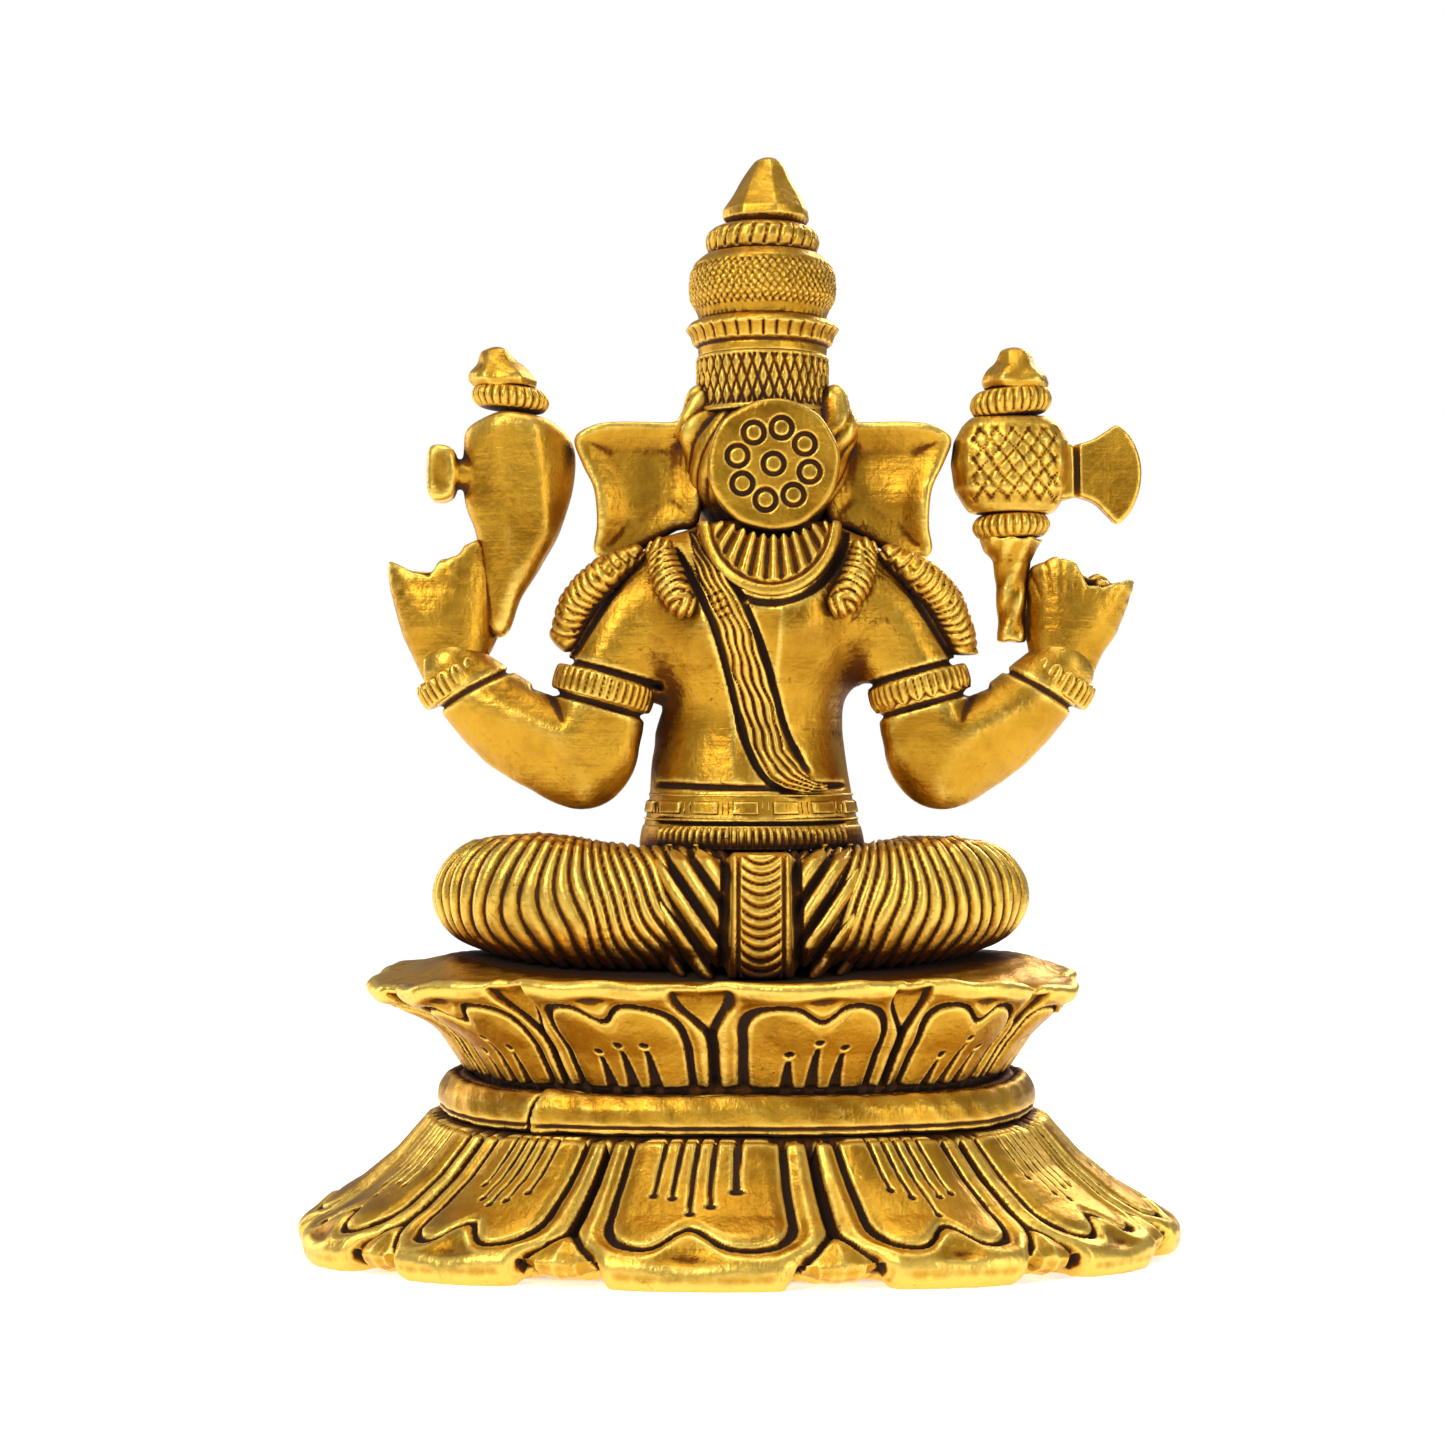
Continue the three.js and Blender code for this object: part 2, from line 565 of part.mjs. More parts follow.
// ---------- Front arms ----------
function frontArms() {
  const left = limb(
    [[10.5, -3, 88], [15, -6, 82], [18.4, -9, 78.6], [17.4, -18, 78], [15.6, -26, 78.6]],
    [[4.8, 5], [4.8, 4.8], [4.8, 4.4], [3.9, 3.8], [3.2, 3]],
    { steps: 12, depthAxis: [0.2, 0.7, 0.7] },
  );
  add("left_front_arm", "figure", left);
  const right = limb(
    [[-16.5, -3, 88], [-21, -6, 82], [-24.2, -9, 78.8], [-24, -18, 79.6], [-23.4, -23.4, 82]],
    [[4.8, 5], [4.8, 4.8], [4.8, 4.4], [3.9, 3.8], [3.1, 3]],
    { steps: 12, depthAxis: [0.2, 0.7, 0.7] },
  );
  add("right_front_arm", "figure", right);
  const cuff = [[0, -1.3], [3.9, -1.3], [4.3, 0], [3.9, 1.3], [0, 1.3]];
  add("left_front_bracelet", "ornament", aimed(turned(cuff, 16), [15.9, -24.4, 78.5], [-0.15, -1, 0.05]));
  add("right_front_bracelet", "ornament", aimed(turned(cuff, 16), [-23.6, -22, 81.2], [0.1, -0.8, 0.45]));

  // The left hand is open upwards and holds a sweet, and the right is raised with its palm forwards.
  const bowl = limb(
    [[15.7, -26.6, 78.2], [15.2, -30.6, 77.6], [14.6, -34.4, 78.2]],
    [[3.2, 2.2], [4.2, 2], [3, 1.6]],
    { sides: 10, steps: 5, depthAxis: [0, 0, 1] },
  );
  add("left_front_hand", "figure", bowl);
  const sweet = turned([[0, 0], [2.8, 0.2], [3.4, 1.8], [2.4, 3.8], [0.7, 5.6], [0, 6]], 14);
  add("sweet", "ornament", moved(sweet, 15.4, -30.6, 79.2));
  const palm = limb(
    [[-23.3, -24.4, 83], [-23.2, -25.8, 87], [-23.2, -26, 90.4]],
    [[3.4, 1.8], [4.3, 2], [3.9, 1.6]],
    { sides: 10, steps: 5 },
  );
  const fingers = [95.6, 97, 96.6, 95].map((tip, i) => {
    const x = -20.1 - 2.05 * i;
    const sizes = [[1, 1.1], [1, 1.1], [0.8, 0.9]];
    return limb([[x + 0.1 * (i - 2), -25.9, 89], [x, -26.2, 93], [x, -26, tip]], sizes, { sides: 6, steps: 3 });
  });
  const thumb = limb(
    [[-20.6, -25.4, 85.4], [-18.6, -26.2, 88], [-18.2, -26.6, 91]],
    [[1.3, 1.3], [1.2, 1.2], [0.9, 0.9]],
    { sides: 6, steps: 3 },
  );
  add("right_front_hand", "figure", joined(palm, ...fingers, thumb));
}

pedestal();
fixings();
legs();
torso();
head();
rearArm("left", 1);
rearArm("right", -1);
noose();
axe();
frontArms();

export default statue;
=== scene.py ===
"""Looks for the cast brass deity statue.

Every visible piece is sculpted as a signed distance field in millimetres, meshed with OpenVDB, and stands
for the CAD node of the same name. Places come from the CAD boxes. The pedestal's three stages are
built as grids of rings instead, because their engraving follows the petals. Recesses get dark patina
and painted shade (an ambient occlusion worked into the colour) from two attributes that are worked out
on the finished meshes.
"""
import math
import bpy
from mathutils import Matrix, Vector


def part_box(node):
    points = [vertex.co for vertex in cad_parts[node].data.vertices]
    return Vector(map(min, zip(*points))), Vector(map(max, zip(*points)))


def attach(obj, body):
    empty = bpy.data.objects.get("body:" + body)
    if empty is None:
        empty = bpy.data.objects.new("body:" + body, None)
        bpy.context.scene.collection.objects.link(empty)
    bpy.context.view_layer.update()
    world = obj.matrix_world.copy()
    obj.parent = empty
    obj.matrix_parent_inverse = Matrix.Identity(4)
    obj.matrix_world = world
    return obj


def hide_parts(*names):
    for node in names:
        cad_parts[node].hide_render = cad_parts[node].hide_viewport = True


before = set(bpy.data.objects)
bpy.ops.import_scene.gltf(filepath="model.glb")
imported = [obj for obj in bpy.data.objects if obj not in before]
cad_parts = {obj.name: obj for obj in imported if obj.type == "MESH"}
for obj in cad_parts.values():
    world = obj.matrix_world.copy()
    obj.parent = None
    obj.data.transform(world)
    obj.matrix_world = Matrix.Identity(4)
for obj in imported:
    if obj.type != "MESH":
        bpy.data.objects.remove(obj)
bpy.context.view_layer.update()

from concurrent.futures import ThreadPoolExecutor

import bpy
import numpy as np
import openvdb
from mathutils import Vector

# ---------- Driving values (millimetres unless a name says otherwise) ----------
MM = 0.001
COARSE = 1.0  # quick tries use larger voxels
BODY_VOXEL = 0.29 * COARSE
ORNAMENT_VOXEL = 0.2 * COARSE
LIMB_VOXEL = 0.26 * COARSE
FINE_VOXEL = 0.18 * COARSE
FINEST_VOXEL = 0.16 * COARSE
PETALS = 12  # in each tier
LOWER_PETAL = 85.2  # the direction of one petal's middle, in degrees
UPPER_PETAL = 102.0
SEAM = 51.0  # the direction of the waist band's seam, in degrees
OVAL_POWER = 2.3
OVAL_DEPTH = 0.72
REAR_SINK = 2.7  # how far the seat sinks at its rear edge
HELD_Y = 2.4  # the middle plane of the noose and the axe
f32 = np.float32


def corners(node):
    low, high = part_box(node)
    return np.array(low) / MM, np.array(high) / MM


def centre(node):
    low, high = corners(node)
    return (low + high) / 2


def sided(side, node):
    """The left node's name if side is 1, and the right one's if it is -1."""
    return ("left_" if side > 0 else "right_") + node


BODY_X = (corners("left_rear_arm")[1][0] + corners("right_rear_arm")[0][0]) / 2 + 0.2
CROWN_X = centre("crown_band")[0]
HEAD_X = centre("crown_finial")[0]
HIP_X = (corners("left_leg")[1][0] + corners("right_leg")[0][0]) / 2
DISC = centre("rear_disc")


# ---------- Distance fields ----------
def blend(a, b, k):
    """The union of two fields, with a fillet about k wide."""
    h = np.clip(0.5 + 0.5 * (b - a) / k, 0, 1)
    return b + (a - b) * h - k * h * (1 - h)


def overlap(a, b, k=0.3):
    return -blend(-a, -b, k)


def carve(a, tool, k=0.3):
    return overlap(a, -tool, k)


def smooth(low, high, value):
    t = np.clip((value - low) / (high - low), 0, 1)
    return t * t * (3 - 2 * t)


def groove(distance, half_width):
    """1 along a line, falling to 0 at half_width from it."""
    return np.clip(1 - (distance / half_width) ** 2, 0, 1)


def mound(u, v=0.0):
    """1 where u and v are 0, and nearly 0 where either is beyond 2."""
    return np.exp(-(u**2) - v**2)


def looked_up(value, places, results):
    """A value read from a small table, straight between its rows."""
    return np.interp(value, places, results).astype(f32)


def spline(p, at):
    """A smooth curve through p, at the given places; place k lies on p[k + 1]."""
    i = at.astype(int)
    t = (at - i)[:, None]
    a, b, c, d = p[i], p[i + 1], p[i + 2], p[i + 3]
    square = (2 * a - 5 * b + 4 * c - d) * t**2
    return 0.5 * (2 * b + (c - a) * t + square + (3 * b - a - 3 * c + d) * t**3)


def curve(points, count):
    """A smooth open curve through points, as count + 1 points evenly spread in its parameter."""
    p = np.array(points, float)
    p = np.vstack([2 * p[0] - p[1], p, 2 * p[-1] - p[-2]])
    return spline(p, np.linspace(0, len(p) - 3 - 1e-9, count + 1))


def closed_curve(points, count):
    """A smooth closed curve through points, as count points."""
    p = np.array(points, float)
    return spline(np.vstack([p[-1:], p, p[:2]]), np.linspace(0, len(p), count, endpoint=False))


def ball(p, at, radii):
    x, y, z = ((p[k] - at[k]) / radii[k] for k in range(3))
    near = np.sqrt(x * x + y * y + z * z) + 1e-6
    slope = np.sqrt((x / radii[0]) ** 2 + (y / radii[1]) ** 2 + (z / radii[2]) ** 2) + 1e-6
    return near * (near - 1) / slope


def limb(p, points, radii, steps=10, flat=1.0, along=None):
    """A rounded limb on a smooth curve. flat above 1 makes it thinner along Y. along, if given, is
    filled with the length from the start to each point's nearest place on the curve."""
    route = curve(points, steps)
    size = np.interp(np.linspace(0, 1, steps + 1), np.linspace(0, 1, len(radii)), radii)
    scale = np.array([1, flat, 1])
    best = None
    travelled = 0.0
    for k in range(steps):
        a, b = route[k] * scale, route[k + 1] * scale
        step = b - a
        length2 = float(step @ step)
        dx, dy, dz = p[0] - f32(a[0]), p[1] * f32(flat) - f32(a[1]), p[2] - f32(a[2])
        t = np.clip((dx * step[0] + dy * step[1] + dz * step[2]) / length2, 0, 1).astype(f32)
        d = np.sqrt((dx - t * step[0]) ** 2 + (dy - t * step[1]) ** 2 + (dz - t * step[2]) ** 2)
        d -= (size[k] + t * (size[k + 1] - size[k])).astype(f32)
        if best is None:
            best = d
            if along is not None:
                along[...] = t * math.sqrt(length2)
        else:
            closer = d < best
            if along is not None:
                np.copyto(along, travelled + t * math.sqrt(length2), where=closer)
            best = np.minimum(best, d)
        travelled += math.sqrt(length2)
    return best / (flat if flat > 1 else 1)


def outline(u, v, points):
    """Signed distance from (u, v) to a closed polygon, negative inside."""
    best = np.full(u.shape, 1e9, f32)
    inside = np.zeros(u.shape, bool)
    for (ax, ay), (bx, by) in zip(points, np.roll(points, -1, axis=0)):
        ex, ey = bx - ax, by - ay
        dx, dy = u - f32(ax), v - f32(ay)
        t = np.clip((dx * ex + dy * ey) / (ex * ex + ey * ey), 0, 1)
        best = np.minimum(best, (dx - t * ex) ** 2 + (dy - t * ey) ** 2)
        if ay != by:
            inside ^= ((ay > v) != (by > v)) & (u < (bx - ax) * (v - ay) / (by - ay) + ax)
    return np.where(inside, -1, 1) * np.sqrt(best)


def route_2d(u, v, points, steps=14):
    """(length along a curve, signed distance to its left) for points of a plane."""
    route = curve(points, steps)
    best = np.full(u.shape, 1e9, f32)
    along = np.zeros(u.shape, f32)
    side = np.zeros(u.shape, f32)
    travelled = 0.0
    for a, b in zip(route[:-1], route[1:]):
        step = b - a
        length = float(np.hypot(*step))
        dx, dy = u - f32(a[0]), v - f32(a[1])
        t = np.clip((dx * step[0] + dy * step[1]) / length**2, 0, 1)
        d = np.hypot(dx - t * step[0], dy - t * step[1])
        closer = d < best
        np.copyto(side, d * np.sign(step[0] * dy - step[1] * dx), where=closer)
        np.copyto(along, travelled + t * length, where=closer)
        best = np.minimum(best, d)
        travelled += length
    return along, side


# ---------- Meshing ----------
BLOCK = 8
pool = ThreadPoolExecutor(4)


def voxels(field, low, high, step):
    """The field on a dense grid, worked out only in the blocks that the surface may cross."""
    blocks = np.maximum(1, np.ceil((high - low) / (step * BLOCK)).astype(int))
    size = step * BLOCK
    middle = [low[k] + (np.arange(blocks[k]) + 0.5) * size for k in range(3)]
    coarse = field([g.astype(f32).ravel() for g in np.meshgrid(*middle, indexing="ij")]).reshape(blocks)
    near = np.argwhere(np.abs(coarse) < size * 1.25 + 0.6)
    far = np.where(coarse > 0, 2 * step, -2 * step).astype(f32)
    dense = np.empty((blocks[0], BLOCK, blocks[1], BLOCK, blocks[2], BLOCK), f32)
    dense[...] = far[:, None, :, None, :, None]
    inner = np.arange(BLOCK) * step
    cell = np.stack(np.meshgrid(inner, inner, inner, indexing="ij"), -1).reshape(1, -1, 3)

    def fill(part):
        corner = low + part[:, None, :] * size
        points = (corner + cell).astype(f32).reshape(-1, 3)
        values = field([points[:, k] for k in range(3)])
        values = np.clip(values, -2 * step, 2 * step).astype(f32).reshape(-1, BLOCK, BLOCK, BLOCK)
        i, j, k = part.T
        dense[i, :, j, :, k, :] = values

    list(pool.map(fill, np.array_split(near, max(4, len(near) // 240))))
    return dense.reshape(blocks * BLOCK)


def surface(field, low, high, step):
    """Vertices and quads of the field's zero surface inside the box."""
    low, high = np.array(low, float) - 2 * step, np.array(high, float) + 2 * step
    values = voxels(field, low, high, step)
    values[[0, -1]] = values[:, [0, -1]] = values[:, :, [0, -1]] = 2 * step
    grid = openvdb.FloatGrid(2 * step)
    grid.copyFromArray(values)
    points, quads = grid.convertToQuads(isovalue=0.0)
    return points * step + low, quads


def make_mesh(name, points, quads):
    """A smooth mesh object from vertices in millimetres, facing outwards."""
    a, b, c, d = (points[quads[:, k]] for k in range(4))
    if np.einsum("ij,ij->", np.cross(c - a, d - b), (a + b + c + d) / 4) < 0:
        quads = quads[:, ::-1]
    mesh = bpy.data.meshes.new(name)
    mesh.vertices.add(len(points))
    mesh.vertices.foreach_set("co", (points * MM).astype(f32).ravel())
    mesh.loops.add(quads.size)
    mesh.loops.foreach_set("vertex_index", quads.astype(np.int32).ravel())
    mesh.polygons.add(len(quads))
    mesh.polygons.foreach_set("loop_start", np.arange(0, quads.size, 4, dtype=np.int32))
    mesh.update(calc_edges=True)
    mesh.shade_smooth()
    return mesh


built = {}


def piece(name, slot, points, quads):
    """Adds a mesh that rides on the root and stands for the CAD node of its name."""
    mesh = make_mesh(name, points, quads)
    ob = bpy.data.objects.new(name + "_cast", mesh)
    bpy.context.collection.objects.link(ob)
    ob.data.materials.append(materials[slot])
    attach(ob, "root")
    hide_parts(name)
    built[name] = ob


def sculpt(name, slot, field, margin, step=None, box=None):
    """Meshes a field inside the CAD node's box, grown by margin, and adds it as a piece."""
    low, high = box if box is not None else corners(name)
    step = step or (ORNAMENT_VOXEL if slot == "ornament" else BODY_VOXEL)
    points, quads = surface(field, np.array(low) - margin, np.array(high) + margin, step)
    points, quads = largest_part(points, quads)
    piece(name, slot, relaxed(points, quads, 0.4), quads)


def largest_part(points, quads):
    """Drops loose crumbs: keeps only the part of the mesh with the most vertices."""
    label = np.arange(len(points))
    edges = np.concatenate([quads[:, [0, 1]], quads[:, [1, 2]], quads[:, [2, 3]], quads[:, [3, 0]]])
    while True:
        lower = np.minimum(label[edges[:, 0]], label[edges[:, 1]])
        new = label.copy()
        np.minimum.at(new, edges[:, 0], lower)
        np.minimum.at(new, edges[:, 1], lower)
        new = new[new]
        if np.array_equal(new, label):
            break
        label = new
    names, counts = np.unique(label, return_counts=True)
    keep = label == names[counts.argmax()]
    renumber = np.cumsum(keep) - 1
    return points[keep], renumber[quads[keep[quads[:, 0]]]]


def neighbour_mean(points, quads):
    """The mean place of each vertex's neighbours."""
    total = np.zeros_like(points)
    count = np.zeros(len(points))
    for i, j in ((0, 1), (1, 2), (2, 3), (3, 0)):
        for a, b in ((quads[:, i], quads[:, j]), (quads[:, j], quads[:, i])):
            for k in range(3):
                total[:, k] += np.bincount(a, points[b, k], len(points))
            count += np.bincount(a, minlength=len(points))
    return total / np.maximum(count, 1)[:, None]


def relaxed(points, quads, share):
    """Each vertex moved a share of the way to its neighbours' mean."""
    return points + share * (neighbour_mean(points, quads) - points)


# ---------- Materials ----------
DARK = (0.034, 0.012, 0.003, 1)
BROWN = (0.17, 0.052, 0.006, 1)
OCHRE = (0.42, 0.19, 0.012, 1)
GOLD = (0.68, 0.36, 0.030, 1)
BRIGHT = (0.95, 0.64, 0.12, 1)


class Nodes:
    """Short calls for adding linked shader nodes."""

    def __init__(self, name):
        self.material = bpy.data.materials.new(name)
        self.material.use_nodes = True
        self.tree = self.material.node_tree
        self.shader = self.tree.nodes["Principled BSDF"]
        self.place = self.add("ShaderNodeTexCoord").outputs["Object"]

    def add(self, kind, **values):
        node = self.tree.nodes.new(kind)
        for key, value in values.items():
            setattr(node, key, value)
        return node

    def put(self, socket, value):
        if hasattr(value, "is_output"):
            self.tree.links.new(value, socket)
        else:
            socket.default_value = value

    def math(self, operation, a, b=0.0, clamp=False):
        node = self.add("ShaderNodeMath", operation=operation, use_clamp=clamp)
        self.put(node.inputs[0], a)
        self.put(node.inputs[1], b)
        return node.outputs[0]

    def plus(self, a, b, clamp=False):
        return self.math("ADD", a, b, clamp)

    def minus(self, a, b):
        return self.math("SUBTRACT", a, b)

    def times(self, a, b):
        return self.math("MULTIPLY", a, b)

    def attribute(self, name):
        return self.add("ShaderNodeAttribute", attribute_name=name).outputs["Fac"]

    def stretched(self, scale):
        node = self.add("ShaderNodeMapping")
        self.put(node.inputs["Vector"], self.place)
        self.put(node.inputs["Scale"], scale)
        return node.outputs[0]

    def noise(self, scale, detail=4.0, rough=0.6, vector=None):
        node = self.add("ShaderNodeTexNoise")
        self.put(node.inputs["Vector"], vector or self.place)
        self.put(node.inputs["Scale"], scale)
        self.put(node.inputs["Detail"], detail)
        self.put(node.inputs["Roughness"], rough)
        return node.outputs["Fac"]

    def scratches(self):
        """Fine dark nicks running several ways, where a stretched noise crosses its middle value."""
        found = None
        for scale, width in (((180, 900, 70), 0.012), ((700, 160, 260), 0.01), ((90, 420, 800), 0.01)):
            strokes = self.noise(1.0, 2, 0.5, self.stretched(scale))
            mark = self.between(self.math("ABSOLUTE", self.minus(strokes, 0.5)), width, 0.0)
            patch = self.between(self.noise(300, 2, 0.5), 0.5, 0.62)
            mark = self.times(mark, patch)
            found = mark if found is None else self.math("MAXIMUM", found, mark)
        return found

    def between(self, value, low, high):
        """0 at low, 1 at high, smooth in between."""
        node = self.add("ShaderNodeMapRange", interpolation_type="SMOOTHSTEP")
        for socket, v in zip(("Value", "From Min", "From Max"), (value, low, high)):
            self.put(node.inputs[socket], v)
        return node.outputs["Result"]

    def mixed(self, factor, a, b):
        node = self.add("ShaderNodeMix", data_type="RGBA")
        self.put(node.inputs["Factor"], factor)
        self.put(node.inputs["A"], a)
        self.put(node.inputs["B"], b)
        return node.outputs["Result"]

    def bump(self, height, strength, distance, normal=None):
        node = self.add("ShaderNodeBump")
        self.put(node.inputs["Height"], height)
        self.put(node.inputs["Strength"], strength)
        self.put(node.inputs["Distance"], distance)
        if normal:
            self.put(node.inputs["Normal"], normal)
        return node.outputs["Normal"]


def brass(name, patina_and_shade_amount=1.0, brushing=(60, 60, 900)):
    """Old lacquered brass: rubbed bright on what stands proud, brown to black in the recesses, from patina
    plus painted shade.
    """
    n = Nodes(name)
    cloud = n.noise(75, 5, 0.65)
    mottle = n.noise(420, 4, 0.7)
    grain = n.noise(1500, 3, 0.6)
    scratches = n.scratches()
    # Darkening mask: patina in engraved grooves, plus painted shade where nearby metal occludes the surface
    # (an ambient occlusion attribute), broken up by mottling and scratches.
    patina_and_shade = n.plus(n.times(n.attribute("groove"), patina_and_shade_amount), n.times(n.attribute("occlusion_shade_and_patina"), 1.05 * patina_and_shade_amount))
    for texture, middle, amount in ((mottle, 0.5, 0.5), (cloud, 0.48, 0.5), (grain, 0.5, 0.4)):
        patina_and_shade = n.plus(patina_and_shade, n.times(n.minus(texture, middle), amount))
    patina_and_shade = n.plus(patina_and_shade, n.times(scratches, 0.22))
    worn = n.plus(n.attribute("edge"), n.times(n.minus(grain, 0.5), 0.4))
    gold = n.mixed(n.between(cloud, 0.32, 0.62), OCHRE, GOLD)
    gold = n.mixed(n.between(worn, 0.1, 0.8), gold, BRIGHT)
    # Brown, then near-black where that darkening is strongest: patina and painted shade together.
    browned = n.mixed(n.between(patina_and_shade, 0.10, 0.52), gold, BROWN)
    dark = n.between(patina_and_shade, 0.5, 1.05)
    n.put(n.shader.inputs["Base Color"], n.mixed(dark, browned, DARK))
    n.put(n.shader.inputs["Metallic"], n.minus(1.0, n.times(dark, 0.75)))
    rough = n.plus(0.30, n.times(patina_and_shade, 0.35))
    rough = n.plus(rough, n.times(n.noise(260, 3, 0.6), 0.16), clamp=True)
    n.put(n.shader.inputs["Roughness"], rough)
    strokes = n.noise(1.0, 4, 0.6, n.stretched(brushing))
    cross = n.noise(1.0, 3, 0.6, n.stretched((1000, 400, 90)))
    pits = n.between(n.noise(800, 2, 0.5), 0.36, 0.30)
    normal = n.bump(strokes, 0.3, 0.0003)
    normal = n.bump(cross, 0.18, 0.0003, normal)
    normal = n.bump(scratches, -0.25, 0.0002, normal)
    normal = n.bump(cloud, 0.5, 0.0009, normal)
    normal = n.bump(mottle, 0.45, 0.0003, normal)
    normal = n.bump(pits, -0.35, 0.0003, normal)
    n.put(n.shader.inputs["Normal"], normal)
    return n.material


def steel(name):
    n = Nodes(name)
    streaks = n.noise(1.0, 4, 0.6, n.stretched((1400, 1400, 120)))
    n.put(n.shader.inputs["Base Color"], n.mixed(streaks, (0.36, 0.37, 0.38, 1), (0.62, 0.63, 0.65, 1)))
    n.put(n.shader.inputs["Roughness"], n.plus(0.28, n.times(streaks, 0.2)))
    n.shader.inputs["Metallic"].default_value = 1.0
    n.put(n.shader.inputs["Normal"], n.bump(streaks, 0.3, 0.0002))
    return n.material


materials = {
    "figure": brass("figure_brass"),
    "ornament": brass("ornament_brass", patina_and_shade_amount=1.1, brushing=(200, 200, 700)),
    "pedestal": brass("pedestal_brass", patina_and_shade_amount=0.85, brushing=(500, 500, 90)),
    "fixing": steel("fixing_steel"),
}


# ---------- Pedestal ----------
def bend(c):
    """Turns a circle's cosine or sine into that of a squarer oval."""
    return np.sign(c) * np.abs(c) ** (2 / OVAL_POWER)


def resampled(profile, spacing):
    """A polyline with extra points, so that neighbours are about spacing apart."""
    rows = [np.array(profile[0], float)]
    for a, b in zip(profile[:-1], profile[1:]):
        a, b = np.array(a, float), np.array(b, float)
        count = max(1, round(float(np.hypot(*(b - a))) / spacing))
        rows += [a + (b - a) * (k + 1) / count for k in range(count)]
    return np.array(rows)


def rounded(profile, passes):
    """Softens a polyline's corners, except its ends."""
    soft = profile.copy()
    for _ in range(passes):
        soft[1:-1] = (soft[:-2] + 2 * soft[1:-1] + soft[2:]) / 4
    return soft


def tier(name, face, rest, columns, shape, relief, step=0.26):
    """A closed oval tier. face is the finely divided outer part of its section, and rest the remainder,
    as [radius, height] points. s runs from 0 to 1 along face. shape(angle, s, r, z) bends the section and
    relief(angle, s) is how far the surface stands out."""
    coarse_step = 2.2
    outer = rounded(resampled(face, step * COARSE), 6)
    back = resampled(rest, coarse_step)[1:-1]
    section = np.vstack([outer, back])
    lengths = np.hypot(*np.diff(outer, axis=0).T)
    s = np.concatenate([[0], np.cumsum(lengths)]) / lengths.sum()
    s = np.concatenate([s, np.full(len(back), -1.0)])
    columns = int(columns / COARSE) // 28 * 28
    angle = np.arange(columns) * 2 * np.pi / columns
    angle, s = np.meshgrid(angle, s, indexing="ij")
    r, z = (np.tile(section[:, k], (columns, 1)) for k in (0, 1))
    r, z, shift = shape(angle, s, r, z)
    x = r * bend(np.cos(angle)) + shift
    y = r * bend(np.sin(angle)) * OVAL_DEPTH
    p = np.stack([x, y, z], -1)
    across = np.roll(p, -1, 0) - np.roll(p, 1, 0)
    along = np.roll(p, -1, 1) - np.roll(p, 1, 1)
    normal = np.cross(across, along)
    normal /= np.linalg.norm(normal, axis=2, keepdims=True) + 1e-9
    out = np.sign((normal[:, len(outer) // 2] * p[:, len(outer) // 2]).sum())
    height = np.where(s >= 0, relief(angle, np.maximum(s, 0)), 0)
    p = p + normal * out * height[..., None]
    p[..., 2] = np.maximum(p[..., 2], 0)
    index = np.arange(p.shape[0] * p.shape[1]).reshape(p.shape[:2])
    next_column, next_row = np.roll(index, -1, 0), np.roll(index, -1, 1)
    quads = np.stack([index, next_column, np.roll(next_column, -1, 1), next_row], -1).reshape(-1, 4)
    piece(name, "pedestal", p.reshape(-1, 3), quads)


def petal_place(angle, count, centre_angle):
    """Where an angle falls within its petal: 0 at the middle, 0.5 at the valleys, and the petal's number."""
    turn = (angle - np.radians(centre_angle)) / (2 * np.pi / count) + 0.5
    return turn % 1 - 0.5, np.floor(turn)


def stroke(a, s, at, end, width, dot, pitch, slant):
    """An engraved line from the waist down to a dot."""
    across = (a - at) * pitch
    line = groove(across, width * (1 + 0.8 * (1 - s / end))) * (s < end)
    return np.maximum(line, groove(np.hypot(across, (s - end) * slant), dot))


def sag(y, z):
    """How far the pedestal's stages sink towards the rear."""
    return looked_up(z, [6, 17, 25, 37], [0, 1.3, 1.3, REAR_SINK]) * smooth(1, 23, y)


def seat_dip(y):
    return REAR_SINK * smooth(1, 23, y)


def rearwards(angle, r):
    """How far behind the middle a place on an oval lies."""
    return bend(np.sin(angle)) * OVAL_DEPTH * r


